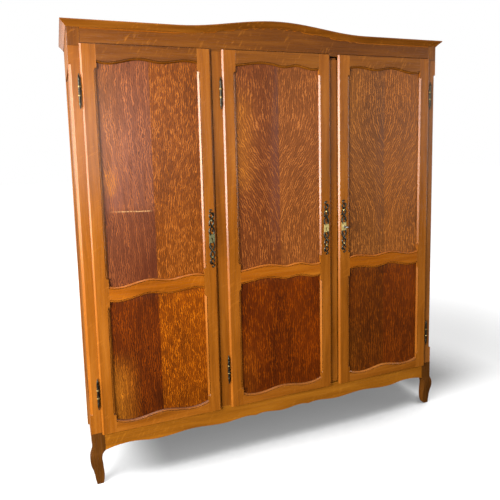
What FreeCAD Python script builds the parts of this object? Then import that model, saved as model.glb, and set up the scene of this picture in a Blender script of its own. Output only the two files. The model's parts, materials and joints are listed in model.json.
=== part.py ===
import FreeCAD, Part
import math
import os
import re

Vector = FreeCAD.Vector

# A three-door wardrobe: +X to the right, +Y to the back, +Z up, standing on the floor at Z 0.
# Driving dimensions, in millimetres.
sizes = {
    # the three doors, lipped over the frame
    "door_width": 550,
    "lip_overlap": 8,
    "lip_thickness": 12,
    "lip_round": 9,
    "lip_ease": 2.5,
    "tongue_thickness": 10,
    "door_clearance": 2,
    "stile_width": 63,
    "top_rail_height": 69,
    "mid_rail_height": 70,
    "mid_rail_level": 636,
    "bottom_rail_height": 55,
    "wave_depth": 11,
    "moulding": 9,
    "moulding_stop": 30,
    "panel_thickness": 8,
    "panel_seat": 9,
    "groove_spare": 1,
    # front frame of the case
    "carcase_height": 1664,
    "carcase_depth": 580,
    "post_width": 53,
    "post_depth": 45,
    "post_chamfer": 10,
    "chamfer_stop_top": 75,
    "chamfer_stop_bottom": 88,
    "mullion_face": 51.5,
    "mullion_depth": 30,
    "meeting_gap": 44.5,
    # sides, partition and back
    "rail_thickness": 22,
    "side_top_rail": 80,
    "side_bottom_rail": 90,
    "side_panel_inset": 7,
    "partition_thickness": 18,
    "back_thickness": 9,
    "back_ledge": 10,
    "board_joint": 0.5,
    # base
    "base_height": 237,
    "apron_height": 86,
    "apron_thickness": 30,
    "apron_wave": 10,
    "foot_width": 55,
    "floor_thickness": 18,
    "floor_ledge": 10,
    # top frame and cornice
    "frieze_height": 72,
    "frieze_thickness": 26,
    "corner_block_width": 50,
    "cornice_height": 28,
    "cornice_projection": 23,
    "cornice_bead": 2,
    "cornice_fillet": 5,
    "frieze_setdown": 3,
    "arch_rise": 41,
    "arch_half": 470,
    "top_board_thickness": 12,
    # shelves and clothes rail
    "shelf_thickness": 18,
    "shelf_pitch": 400,
    "shelf_setback": 5,
    "cleat_size": 20,
    "hat_space": 301,
    "hat_cleat_height": 80,
    "clothes_rail_radius": 12.5,
    "socket_wall": 4,
    "socket_depth": 15,
    "socket_clearance": 0.3,
    # pin hinges
    "hinge_offset": 8,
    "hinge_proud": 7.3,
    "hinge_barrel": 5.5,
    "hinge_ring": 6.8,
    "hinge_ring_height": 6,
    "hinge_knuckle": 45,
    "hinge_finial": 26,
    "hinge_tip": 1.2,
    "hinge_pin": 2.8,
    "pin_length": 36,
    "pin_clearance": 0.1,
    "knuckle_gap": 0.2,
    "hinge_inset": 190,
    "leaf_thickness": 2.5,
    "leaf_depth": 22,
    "leaf_height": 34,
    # locks, bolts and key
    "lock_level": 834,
    "lock_backset": 28,
    "left_lock_backset": 21,
    "lock_case_width": 50,
    "lock_case_height": 90,
    "lock_case_depth": 16,
    "lock_wall": 2,
    "bolt_height": 14,
    "bolt_thickness": 8,
    "bolt_rise": 15,
    "bolt_length": 34,
    "bolt_throw": 14,
    "bolt_nose": 8,
    "bolt_clearance": 0.3,
    "keyhole_radius": 3.6,
    "keyhole_slot": 4.6,
    "keyhole_drop": 13.5,
    "key_out": 40,
    "key_shank": 3,
    "key_bow": 11,
    "key_bow_wire": 2.2,
    "key_collar": 5,
    "key_bit": 12,
    "key_bit_length": 6,
    "key_bit_thickness": 2.5,
    # escutcheons
    "plate_width": 27,
    "plate_height": 40,
    "plate_thickness": 2.5,
    "escutcheon_length": 276,
    "vine_sway": 10,
    "vine_width": 6,
    # false mullion and flush bolts of the centre door
    "strip_lap": 38,
    "strip_gap": 2,
    "strip_thickness": 14,
    "strip_end_gap": 5,
    "flush_bolt_length": 140,
    "flush_bolt_width": 8,
    "flush_bolt_thickness": 6,
    "flush_bolt_inset": 10,
    "guide_height": 10,
    "guide_wall": 4,
    "guide_inset": 20,
}

# The highest point of any wave below, as a share of the wave's depth.
wave_peak = 1.2

# Sizes and places that follow from the driving dimensions.
derived = {
    "half": "post_width - lip_overlap + 1.5*door_width + (mullion_face + meeting_gap)/2",
    "key_reach": "lip_thickness + plate_thickness + key_out",
    "front": "(key_reach - carcase_depth)/2",
    "back": "front + carcase_depth",
    "case_top": "base_height + carcase_height",
    "rim": "lip_overlap + door_clearance",
    "door_front": "front - lip_thickness",
    "door_back": "front + tongue_thickness",
    "door_thickness": "lip_thickness + tongue_thickness",
    "door_z": "base_height - lip_overlap",
    "door_height": "carcase_height + 2*lip_overlap",
    "door_top": "door_z + door_height",
    "left_door": "post_width - lip_overlap - half",
    "centre_door": "left_door + door_width + mullion_face",
    "right_door": "centre_door + door_width + meeting_gap",
    "mullion_x": "left_door + door_width - lip_overlap",
    "mullion_width": "mullion_face + 2*lip_overlap",
    "partition_x": "mullion_x + (mullion_width - partition_thickness)/2",
    "partition_right": "partition_x + partition_thickness",
    "panel_plane": "door_front + moulding",
    "groove_depth": "panel_seat + groove_spare",
    "wave_reach": "%s*wave_depth" % wave_peak,
    "top_edge": "door_top - top_rail_height",
    "mid_upper_edge": "door_z + mid_rail_level + mid_rail_height/2",
    "mid_lower_edge": "door_z + mid_rail_level - mid_rail_height/2",
    "bottom_edge": "door_z + bottom_rail_height",
    "side_plane": "half - side_panel_inset - panel_thickness",
    "frame_inner": "half - rail_thickness",
    "rebate_depth": "rail_thickness - floor_ledge",
    "leg_height": "base_height - apron_height",
    "top_frame_height": "frieze_height + cornice_height - frieze_setdown",
    "cornice_z": "case_top + frieze_height",
    "shelf_front": "front + post_depth + shelf_setback",
    "shelf_back": "back - post_depth - shelf_setback",
    "shelf_depth": "shelf_back - shelf_front",
    "hat_shelf_z": "case_top - hat_space",
    "socket_radius": "clothes_rail_radius + socket_clearance + socket_wall",
    "clothes_rail_z": "hat_shelf_z - hat_cleat_height/2",
    "hinge_y": "front - hinge_proud",
    "upper_hinge_z": "door_top - hinge_inset",
    "lower_hinge_z": "door_z + hinge_inset",
    "lock_z": "door_z + lock_level",
    "bolt_y": "door_back + (lock_case_depth - bolt_thickness)/2",
    "bolt_z": "lock_z + bolt_rise",
    "left_lock_edge": "left_door + door_width - rim",
    "left_key_x": "left_door + door_width - left_lock_backset",
    "centre_key_x": "centre_door + door_width - lock_backset",
    "right_lock_edge": "right_door + rim",
    "right_key_x": "right_door + lock_backset",
    "strip_x": "centre_door + door_width - strip_lap",
    "strip_width": "strip_lap + meeting_gap - strip_gap",
    "flush_bolt_x": "centre_door + door_width - stile_width + flush_bolt_inset",
    "flush_bolt_y": "door_back + bolt_clearance",
}

# Serpentine edges: share of the run from left to right, and height as a share of the wave's depth.
right_wave = ((0.0, 0.2), (0.16, 0.75), (0.38, -0.2), (0.58, 0.85), (0.9, -1.05), (1.0, -0.45))
centre_wave = ((0.0, -0.2), (0.17, 0.6), (0.32, 1.1), (0.46, 0.45),
               (0.57, -0.25), (0.71, 0.45), (0.92, -0.9), (1.0, -0.55))
left_wave = tuple((1 - share, height) for share, height in reversed(right_wave))
foot_wave = ((0.0, 0.6), (0.25, -0.75), (0.5, 0.55), (0.74, -0.7), (1.0, 0.5))

# Lower edge of the apron from its middle to its end, in lobes that meet at cusps.
apron_lobes = (
    ((0.0, 0.0), (0.112, 0.95), (0.168, 0.35)),
    ((0.168, 0.35), (0.209, 0.85), (0.34, 0.0), (0.541, 1.0), (0.684, 0.05), (0.782, 0.35)),
    ((0.782, 0.35), (0.875, 1.35), (1.0, 0.05)),
)

# A front foot seen from the front and from the side: its outer edge upwards from the toe, and its inner edge
# down to the toe. Each point is a share of the foot's width in from the outer face, and of the leg's height.
foot_seen_front = (
    ((0.21, 0.0), (0.07, 0.27), (-0.01, 0.43), (-0.17, 0.62), (-0.215, 0.76), (-0.13, 0.91), (0.0, 1.0)),
    ((1.0, 1.0), (0.8, 0.93), (0.7, 0.77), (0.75, 0.56), (0.81, 0.33), (0.71, 0.0)),
)
foot_seen_side = (
    ((-0.02, 0.0), (0.01, 0.25), (-0.02, 0.48), (-0.07, 0.72), (-0.045, 0.9), (0.0, 1.0)),
    ((1.0, 1.0), (0.8, 0.93), (0.7, 0.77), (0.68, 0.56), (0.66, 0.33), (0.53, 0.0)),
)

back_board_count = 8
left_shelf_count = 3
arch_stations = 24
cove_bow = 0.47
vine_stations = 15
vine_lobes = 3
vine_taper = 0.4
straight_run = ((0, 0), (1, 0))
joined = 1e-6

doc = FreeCAD.newDocument("wardrobe")
sheet = doc.addObject("Spreadsheet::Sheet", "dims")
for row, (name, size) in enumerate(sizes.items(), start=1):
    sheet.set("A%d" % row, name)
    sheet.set("B%d" % row, str(size))
    sheet.setAlias("B%d" % row, name)
doc.recompute()

nodes = []


def formula(text):
    """The text with each size bound to its cell and each derived name written out."""
    def bound(match):
        word = match.group(0)
        if word in derived:
            return "(" + formula(derived[word]) + ")"
        return "dims." + word if word in sizes else word
    return re.sub(r"[A-Za-z_]\w*", bound, text)


def value(text):
    return float(sheet.evalExpression(formula(text)))


def bind(item, at=None, **properties):
    for key, text in properties.items():
        item.setExpression(key, formula(text))
    if at:
        for axis, text in zip("xyz", at):
            item.setExpression("Placement.Base." + axis, formula(text))
    item.recompute()
    return item


def keep(item):
    nodes.append(item)
    return item


def box(name, at, size):
    item = doc.addObject("Part::Box", name)
    return bind(item, at, Length=size[0], Width=size[1], Height=size[2])


def turned(along):
    turns = {"x": (Vector(0, 1, 0), 90), "y": (Vector(1, 0, 0), -90), "z": (Vector(0, 0, 1), 0)}
    return FreeCAD.Placement(Vector(), FreeCAD.Rotation(*turns[along]))


def cylinder(name, at, radius, length, along="z"):
    item = doc.addObject("Part::Cylinder", name)
    item.Placement = turned(along)
    return bind(item, at, Radius=radius, Height=length)


def cone(name, at, low_radius, high_radius, length):
    item = doc.addObject("Part::Cone", name)
    return bind(item, at, Radius1=low_radius, Radius2=high_radius, Height=length)


def fuse(name, parts):
    item = doc.addObject("Part::MultiFuse", name)
    item.Shapes = parts
    item.recompute()
    return item


def carve(name, base, tools):
    item = doc.addObject("Part::Cut", name)
    item.Base = base
    item.Tool = tools[0] if len(tools) == 1 else fuse(name + "_tools", tools)
    item.recompute()
    return item


def gather(name, parts):
    item = doc.addObject("Part::Compound", name)
    item.Links = parts
    item.recompute()
    return item


def mirror(name, source):
    item = doc.addObject("Part::Mirroring", name)
    item.Source = source
    item.Normal = Vector(1, 0, 0)
    item.recompute()
    return item


def middle_of(edge):
    return edge.valueAt((edge.FirstParameter + edge.LastParameter) / 2)


def rounded(name, base, rounds):
    """The base with edges rounded: each round is the middle of an edge, and a radius."""
    middles = [middle_of(edge) for edge in base.Shape.Edges]
    chosen = []
    for place, radius in rounds:
        near = [middle.distanceToPoint(place) for middle in middles]
        chosen.append((near.index(min(near)) + 1, value(radius), value(radius)))
    item = doc.addObject("Part::Fillet", name)
    item.Base = base
    item.Edges = chosen
    item.recompute()
    return item


def spot(x, y, z):
    return Vector(value(x), value(y), value(z))


def spline(points):
    curve = Part.BSplineCurve()
    curve.interpolate(points)
    return curve.toShape()


def line(start, end):
    return Part.makeLine(start, end)


def plate(name, edges, along, length):
    """A flat outline pushed along a direction into a board."""
    face = doc.addObject("Part::Feature", name + "_outline")
    face.Shape = Part.Face(Part.Wire(Part.__sortEdges__(edges)))
    item = doc.addObject("Part::Extrusion", name)
    item.Base = face
    item.DirMode = "Custom"
    item.Dir = along
    item.Solid = True
    return bind(item, LengthFwd=length)


def closed(runs):
    """Edges of a closed outline: its runs in order, joined by straight lines where they don't meet."""
    edges = []
    for index, run in enumerate(runs):
        following = runs[(index + 1) % len(runs)]
        end, start = run.valueAt(run.LastParameter), following.valueAt(following.FirstParameter)
        edges.append(run)
        if end.distanceToPoint(start) > joined:
            edges.append(line(end, start))
    return edges


def foot_outline(edges, place_point):
    """A cabriole foot seen square on: place_point takes the distance in from the outer face, and Z."""
    wide, tall, top = (value(name) for name in ("foot_width", "leg_height", "base_height"))
    outer, inner = ([place_point(inward * wide, height * tall) for inward, height in edge] for edge in edges)
    return closed([spline(outer), line(place_point(0, top), place_point(wide, top)), spline(inner)])


def front_feet():
    half, front, wide = (value(name) for name in ("half", "front", "foot_width"))
    seen_front = plate("foot_front_cut",
                       foot_outline(foot_seen_front, lambda s, z: Vector(s - half, front - wide, z)),
                       Vector(0, 1, 0), "2*foot_width")
    seen_side = plate("foot_side_cut",
                      foot_outline(foot_seen_side, lambda s, z: Vector(-half - wide, front + s, z)),
                      Vector(1, 0, 0), "2*foot_width")
    left = doc.addObject("Part::Common", "front_left_foot")
    left.Base, left.Tool = seen_front, seen_side
    left.recompute()
    keep(left)
    keep(mirror("front_right_foot", left))


def apron():
    run, front = value("half - foot_width"), value("front")
    low, wave, top = value("leg_height"), value("apron_wave"), value("base_height")

    def lobe(points, side):
        return spline([Vector(side * share * run, front, low + height * wave) for share, height in points])
    middle = [(-share, height) for share, height in reversed(apron_lobes[0][1:])] + list(apron_lobes[0])
    edges = [lobe(middle, 1)]
    edges += [lobe(points, side) for side in (1, -1) for points in apron_lobes[1:]]
    ends = [Vector(side * run, front, low + apron_lobes[-1][-1][1] * wave) for side in (1, -1)]
    corners = [Vector(side * run, front, top) for side in (1, -1)]
    edges += [line(ends[0], corners[0]), line(corners[0], corners[1]), line(corners[1], ends[1])]
    board = plate("apron_board", edges, Vector(0, 1, 0), "apron_thickness")
    ledge = box("apron_ledge", ("foot_width - half", "front + apron_thickness - floor_ledge",
                                "base_height - floor_thickness"),
                ("2*(half - foot_width)", "floor_ledge", "floor_thickness"))
    mortise = flush_mortise("apron_mortise", "base_height - bolt_throw")
    keep(carve("base_apron", board, [ledge, mortise]))


def base_rails():
    run = "carcase_depth - 2*foot_width"
    rails = []
    for name, x, ledge_x in (("left", "-half", "-half + rebate_depth"),
                             ("right", "frame_inner", "frame_inner")):
        rail = box("base_%s_board" % name, (x, "front + foot_width", "leg_height"),
                   ("rail_thickness", run, "apron_height"))
        ledge = box("base_%s_ledge" % name, (ledge_x, "front + foot_width", "base_height - floor_thickness"),
                    ("floor_ledge", run, "floor_thickness"))
        rails.append(carve("base_%s_rail" % name, rail, [ledge]))
    long_run = "2*(half - foot_width)"
    rail = box("base_back_board", ("foot_width - half", "back - rail_thickness", "leg_height"),
               (long_run, "rail_thickness", "apron_height"))
    ledge = box("base_back_ledge", ("foot_width - half", "back - rail_thickness",
                                    "base_height - floor_thickness"),
                (long_run, "floor_ledge", "floor_thickness"))
    rails.append(carve("base_back_rail", rail, [ledge]))
    keep(gather("base_rails", rails))


def back_feet():
    feet = [box("back_foot_%s" % name, (x, "back - foot_width", "0"),
                ("foot_width", "foot_width", "base_height"))
            for name, x in (("left", "-half"), ("right", "half - foot_width"))]
    keep(gather("back_feet", feet))


def floor_board():
    board = box("floor_plain", ("-half + rebate_depth", "front + apron_thickness - floor_ledge",
                                "base_height - floor_thickness"),
                ("2*(half - rebate_depth)",
                 "carcase_depth - apron_thickness - rail_thickness + 2*floor_ledge", "floor_thickness"))
    notches = [box("floor_notch_%s_%s" % (side, end), (x, y, "base_height - floor_thickness"),
                   ("foot_width", "foot_width", "floor_thickness"))
               for side, x in (("left", "-half"), ("right", "half - foot_width"))
               for end, y in (("front", "front"), ("back", "back - foot_width"))]
    keep(carve("floor_board", board, notches))


def panel_groove(name, side, y, z, depth, height):
    """Slot for a side panel, at the same depth from the outer face all round."""
    x = "side_panel_inset - half" if side == "left" else "side_plane"
    return box(name, (x, y, z), ("panel_thickness", depth, height))


def front_posts():
    for side, x, corner, hinge_x in (("left", "-half", "-half", "left_door - hinge_offset"),
                                     ("right", "half - post_width", "half",
                                      "right_door + door_width + hinge_offset")):
        name = "front_%s_post" % side
        post = box(name + "_plain", (x, "front", "base_height"),
                   ("post_width", "post_depth", "carcase_height"))
        chamfer = box(name + "_chamfer",
                      (corner, "front - post_chamfer", "base_height + chamfer_stop_bottom"),
                      ("post_chamfer*sqrt(2)", "post_chamfer*sqrt(2)",
                       "carcase_height - chamfer_stop_bottom - chamfer_stop_top"))
        chamfer.Placement = FreeCAD.Placement(chamfer.Placement.Base, FreeCAD.Rotation(Vector(0, 0, 1), 45))
        groove = panel_groove(name + "_groove", side, "front + post_depth - groove_depth",
                              "base_height + side_bottom_rail - groove_depth", "groove_depth",
                              "carcase_height - side_bottom_rail - side_top_rail + 2*groove_depth")
        keep(carve(name, post, [chamfer, groove] + frame_leaves(name, hinge_x)))


def back_posts():
    posts = []
    for side, x, ledge_x in (("left", "-half", "post_width - half - back_ledge"),
                             ("right", "half - post_width", "half - post_width")):
        name = "back_%s_post" % side
        post = box(name + "_plain", (x, "back - post_depth", "base_height"),
                   ("post_width", "post_depth", "carcase_height"))
        groove = panel_groove(name + "_groove", side, "back - post_depth",
                              "base_height + side_bottom_rail - groove_depth", "groove_depth",
                              "carcase_height - side_bottom_rail - side_top_rail + 2*groove_depth")
        ledge = box(name + "_ledge", (ledge_x, "back - back_thickness", "base_height"),
                    ("back_ledge", "back_thickness", "carcase_height"))
        posts.append(carve(name, post, [groove, ledge]))
    keep(gather("back_posts", posts))


def sides():
    rails, panels = [], []
    run = "carcase_depth - 2*post_depth"
    opening_z = "base_height + side_bottom_rail"
    for side, x, panel_x in (("left", "-half", "side_panel_inset - half"),
                             ("right", "frame_inner", "side_plane")):
        for level, z, height, groove_z in (
                ("bottom", "base_height", "side_bottom_rail", opening_z + " - groove_depth"),
                ("top", "case_top - side_top_rail", "side_top_rail", "case_top - side_top_rail")):
            name = "%s_side_%s_rail" % (side, level)
            rail = box(name + "_plain", (x, "front + post_depth", z), ("rail_thickness", run, height))
            groove = panel_groove(name + "_groove", side, "front + post_depth", groove_z, run, "groove_depth")
            rails.append(carve(name, rail, [groove]))
        panels.append(box("%s_side_panel" % side,
                          (panel_x, "front + post_depth - panel_seat", opening_z + " - panel_seat"),
                          ("panel_thickness", run + " + 2*panel_seat",
                           "carcase_height - side_bottom_rail - side_top_rail + 2*panel_seat")))
    keep(gather("side_rails", rails))
    keep(gather("side_panels", panels))


def mullion_and_partition():
    post = box("mullion_plain", ("mullion_x", "front", "base_height"),
               ("mullion_width", "mullion_depth", "carcase_height"))
    mortise = box("mullion_mortise", ("mullion_x", "bolt_y - bolt_clearance", "bolt_z - bolt_clearance"),
                  ("bolt_throw + bolt_clearance", "bolt_thickness + 2*bolt_clearance",
                   "bolt_height + 2*bolt_clearance"))
    keep(carve("mullion", post, [mortise] + frame_leaves("mullion", "centre_door - hinge_offset")))
    keep(box("partition", ("partition_x", "front + mullion_depth", "base_height"),
             ("partition_thickness", "carcase_depth - mullion_depth - back_thickness", "carcase_height")))


def back_boards():
    run = "2*(half - post_width + back_ledge)"
    pitch = "(%s + board_joint)/%d" % (run, back_board_count)
    boards = [box("back_board_%d" % index,
                  ("post_width - back_ledge - half + %d*%s" % (index, pitch),
                   "back - back_thickness", "base_height"),
                  ("%s - board_joint" % pitch, "back_thickness", "carcase_height"))
              for index in range(back_board_count)]
    keep(gather("back_boards", boards))


def arch(x):
    reach = value("arch_half")
    if abs(x) >= reach:
        return 0.0
    return value("arch_rise") * (1 + math.cos(math.pi * x / reach)) / 2


def top_frame():
    run, reach = value("half - corner_block_width"), value("arch_half")
    low, high = value("case_top"), value("case_top + top_frame_height")
    front = value("front")
    steps = [reach * (2 * index / arch_stations - 1) for index in range(arch_stations + 1)]
    crown = spline([Vector(x, front, high + arch(x)) for x in steps])
    sill = line(Vector(run, front, low), Vector(-run, front, low))
    shoulders = [line(Vector(-run, front, high), Vector(-reach, front, high)),
                 line(Vector(reach, front, high), Vector(run, front, high))]
    rail = plate("frieze_board", closed([shoulders[0], crown, shoulders[1], sill]),
                 Vector(0, 1, 0), "frieze_thickness")
    keep(carve("frieze_rail", rail, [flush_mortise("frieze_mortise", "case_top")]))
    blocks = [box("frieze_block_%s" % side, (x, "front", "case_top"),
                  ("corner_block_width", "post_depth", "top_frame_height"))
              for side, x in (("left", "-half"), ("right", "half - corner_block_width"))]
    keep(gather("frieze_corner_blocks", blocks))
    rails = [box("frieze_%s_rail" % side, (x, "front + post_depth", "case_top"),
                 ("rail_thickness", "carcase_depth - post_depth", "top_frame_height"))
             for side, x in (("left", "-half"), ("right", "frame_inner"))]
    rails.append(box("frieze_back_rail", ("-frame_inner", "back - rail_thickness", "case_top"),
                     ("2*frame_inner", "rail_thickness", "top_frame_height")))
    keep(gather("frieze_rear_rails", rails))
    board = box("top_board_plain", ("-frame_inner", "front + frieze_thickness", "case_top"),
                ("2*frame_inner", "carcase_depth - frieze_thickness - rail_thickness", "top_board_thickness"))
    notches = [box("top_board_notch_%s" % side, (x, "front", "case_top"),
                   ("corner_block_width", "post_depth", "top_board_thickness"))
               for side, x in (("left", "-half"), ("right", "half - corner_block_width"))]
    keep(carve("top_board", board, notches))


def cornice_section(place_point):
    """Bead, cove and top fillet: place_point takes the projection and the height above the bead."""
    out, tall = value("cornice_projection"), value("cornice_height")
    bead, fillet = value("cornice_bead"), value("cornice_fillet")
    cove_out = bead + (out - bead) * cove_bow
    cove_up = bead + (tall - fillet - bead) * (1 - cove_bow)

    def point(p):
        return place_point(*p)

    def arc(*points):
        return Part.Arc(*[point(p) for p in points]).toShape()
    return Part.Wire([
        line(point((0, 0)), point((bead, 0))),
        arc((bead, 0), (bead * 1.5, bead / 2), (bead, bead)),
        arc((bead, bead), (cove_out, cove_up), (out, tall - fillet)),
        line(point((out, tall - fillet)), point((out, tall))),
        line(point((out, tall)), point((0, tall))),
        line(point((0, tall)), point((0, 0))),
    ])


def cornice():
    half, front, back, low = (value(text) for text in ("half", "front", "back", "cornice_z"))
    reach = value("arch_half")

    def station(x):
        return cornice_section(lambda out, up: Vector(x, front - out, low + up + arch(x)))

    def mitre(side):
        return cornice_section(lambda out, up: Vector(side * (half + out), front - out, low + up))

    steps = [reach * (2 * index / arch_stations - 1) for index in range(arch_stations + 1)]
    runs = [Part.makeLoft([mitre(-1), station(-reach)], True, True),
            Part.makeLoft([station(x) for x in steps], True, False),
            Part.makeLoft([station(reach), mitre(1)], True, True)]
    item = doc.addObject("Part::Feature", "cornice_front")
    item.Shape = runs[0].fuse(runs[1:]).removeSplitter()
    keep(item)
    for name, side in (("cornice_left", -1), ("cornice_right", 1)):
        end = cornice_section(lambda out, up: Vector(side * (half + out), back, low + up))
        item = doc.addObject("Part::Feature", name)
        item.Shape = Part.makeLoft([mitre(side), end], True, True)
        keep(item)


def shelves():
    cleats = []

    def cleat(name, x, top, height):
        cleats.append(box(name, (x, "front + post_depth", "%s - %s" % (top, height)),
                          ("cleat_size", "carcase_depth - 2*post_depth", height)))
    boards = []
    for index in range(1, left_shelf_count + 1):
        z = "(base_height + %d*shelf_pitch)" % index
        boards.append(box("left_shelf_%d" % index, ("-side_plane", "shelf_front", z),
                          ("side_plane + partition_x", "shelf_depth", "shelf_thickness")))
        cleat("left_cleat_%d" % index, "-side_plane", z, "cleat_size")
        cleat("partition_cleat_%d" % index, "partition_x - cleat_size", z, "cleat_size")
    keep(gather("left_shelves", boards))
    keep(box("hat_shelf", ("partition_right", "shelf_front", "hat_shelf_z"),
             ("side_plane - partition_right", "shelf_depth", "shelf_thickness")))
    cleat("hat_cleat_left", "partition_right", "hat_shelf_z", "hat_cleat_height")
    cleat("hat_cleat_right", "side_plane - cleat_size", "hat_shelf_z", "hat_cleat_height")
    keep(gather("shelf_cleats", cleats))


def clothes_rail():
    middle = "(front + back)/2"
    low, high = "(partition_right + cleat_size)", "(side_plane - cleat_size)"
    keep(cylinder("clothes_rail", (low, middle, "clothes_rail_z"), "clothes_rail_radius",
                  "%s - %s" % (high, low), "x"))
    sockets = []
    for name, x in (("left", low), ("right", high + " - socket_depth")):
        cup = cylinder("socket_%s_cup" % name, (x, middle, "clothes_rail_z"), "socket_radius",
                       "socket_depth", "x")
        bore = cylinder("socket_%s_bore" % name, (x, middle, "clothes_rail_z"),
                        "clothes_rail_radius + socket_clearance", "socket_depth", "x")
        sockets.append(carve("socket_%s" % name, cup, [bore]))
    keep(gather("clothes_rail_sockets", sockets))


def frame_leaves(name, hinge_x):
    """Mortises for the two hinge leaves that are let into the frame."""
    return [box("%s_leaf_mortise_%s" % (name, level),
                ("%s - leaf_thickness/2" % hinge_x, "front", "%s - knuckle_gap - leaf_height" % z),
                ("leaf_thickness", "leaf_depth", "leaf_height"))
            for level, z in (("upper", "upper_hinge_z"), ("lower", "lower_hinge_z"))]


def frame_half(name, x, z):
    """Lower knuckle with its finial, the pin and the leaf in the frame."""
    top = "%s - knuckle_gap" % z
    barrel = cylinder(name + "_barrel", (x, "hinge_y", "%s - hinge_knuckle" % z), "hinge_barrel",
                      "hinge_knuckle - knuckle_gap")
    ring = cylinder(name + "_ring", (x, "hinge_y", "%s - hinge_ring_height" % top), "hinge_ring",
                    "hinge_ring_height")
    finial = cone(name + "_finial", (x, "hinge_y", "%s - hinge_knuckle - hinge_finial" % z), "hinge_tip",
                  "hinge_barrel", "hinge_finial")
    pin = cylinder(name + "_pin", (x, "hinge_y", top), "hinge_pin", "pin_length")
    leaf = box(name + "_leaf", ("%s - leaf_thickness/2" % x, "hinge_y", "%s - leaf_height" % top),
               ("leaf_thickness", "hinge_proud + leaf_depth", "leaf_height"))
    return fuse(name, [barrel, ring, finial, pin, leaf])


def door_half(name, x, z, side):
    """Upper knuckle bored for the pin, with the leaf in the door's edge."""
    base = "%s + knuckle_gap" % z
    barrel = cylinder(name + "_barrel", (x, "hinge_y", base), "hinge_barrel", "hinge_knuckle - knuckle_gap")
    ring = cylinder(name + "_ring", (x, "hinge_y", base), "hinge_ring", "hinge_ring_height")
    finial = cone(name + "_finial", (x, "hinge_y", "%s + hinge_knuckle" % z), "hinge_barrel", "hinge_tip",
                  "hinge_finial")
    leaf_x = x if side == "left" else "%s - hinge_offset - leaf_depth" % x
    leaf = box(name + "_leaf", (leaf_x, "hinge_y - leaf_thickness/2", base),
               ("hinge_offset + leaf_depth", "leaf_thickness", "leaf_height"))
    bore = cylinder(name + "_bore", (x, "hinge_y", base), "hinge_pin + pin_clearance",
                    "pin_length + hinge_pin")
    return carve(name, fuse(name + "_solid", [barrel, ring, finial, leaf]), [bore])


def hinges():
    frame_halves = []
    for door, x, side in (("left_door", "(left_door - hinge_offset)", "left"),
                          ("centre_door", "(centre_door - hinge_offset)", "left"),
                          ("right_door", "(right_door + door_width + hinge_offset)", "right")):
        door_halves = []
        for level, z in (("upper", "upper_hinge_z"), ("lower", "lower_hinge_z")):
            frame_halves.append(frame_half("%s_%s_frame_half" % (door, level), x, z))
            door_halves.append(door_half("%s_%s_half" % (door, level), x, z, side))
        keep(gather("%s_hinge_halves" % door, door_halves))
    keep(gather("frame_hinge_halves", frame_halves))


def keyhole(name, x, y, depth):
    """Round hole with the slot for the bit below it."""
    hole = cylinder(name + "_hole", (x, y, "lock_z"), "keyhole_radius", depth, "y")
    slot = box(name + "_slot", ("%s - keyhole_slot/2" % x, y, "lock_z - keyhole_drop"),
               ("keyhole_slot", depth, "keyhole_drop"))
    return [hole, slot]


def ovolo(name, edge, inward, low, high):
    """What is planed off a stile's inner edge to leave a quarter round between two stops."""
    x = edge if inward == "+" else edge + " - moulding"
    centre = "%s %s moulding" % (edge, inward)
    height = "%s - moulding_stop - (%s + moulding_stop)" % (high, low)
    strip = box(name + "_strip", (x, "door_front", "%s + moulding_stop" % low),
                ("moulding", "moulding", height))
    core = cylinder(name + "_core", (centre, "panel_plane", "%s + moulding_stop" % low), "moulding", height)
    return carve(name, strip, [core])


def stile(name, x, outer, extra):
    """An upright of a door: rounded and lipped outside, grooved and moulded inside."""
    inner = "(%s + stile_width)" % x
    left_side = outer == "left"
    post = box(name + "_plain", (x, "door_front", "door_z"), ("stile_width", "door_thickness", "door_height"))
    middle = "%s + stile_width/2" % x
    round_post = rounded(name + "_round", post, [
        (spot(x if left_side else inner, "door_front", "door_z + door_height/2"), "lip_round"),
        (spot(middle, "door_front", "door_z"), "lip_ease"), (spot(middle, "door_front", "door_top"), "lip_ease")])
    edge, inward = (inner, "-") if left_side else (x, "+")
    tools = [
        box(name + "_lip", (x if left_side else inner + " - rim", "front", "door_z"),
            ("rim", "tongue_thickness", "door_height")),
        box(name + "_sill", (x, "front", "door_z"), ("stile_width", "tongue_thickness", "rim")),
        box(name + "_head", (x, "front", "door_top - rim"), ("stile_width", "tongue_thickness", "rim")),
        box(name + "_groove", (inner + " - groove_depth" if left_side else x, "panel_plane",
                               "bottom_edge - wave_reach - groove_depth"),
            ("groove_depth", "panel_thickness", "top_edge - bottom_edge + 2*(wave_reach + groove_depth)")),
        ovolo(name + "_upper_ovolo", edge, inward, "mid_upper_edge", "top_edge"),
        ovolo(name + "_lower_ovolo", edge, inward, "bottom_edge", "mid_lower_edge"),
    ]
    keep(carve(name, round_post, tools + extra))


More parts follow.
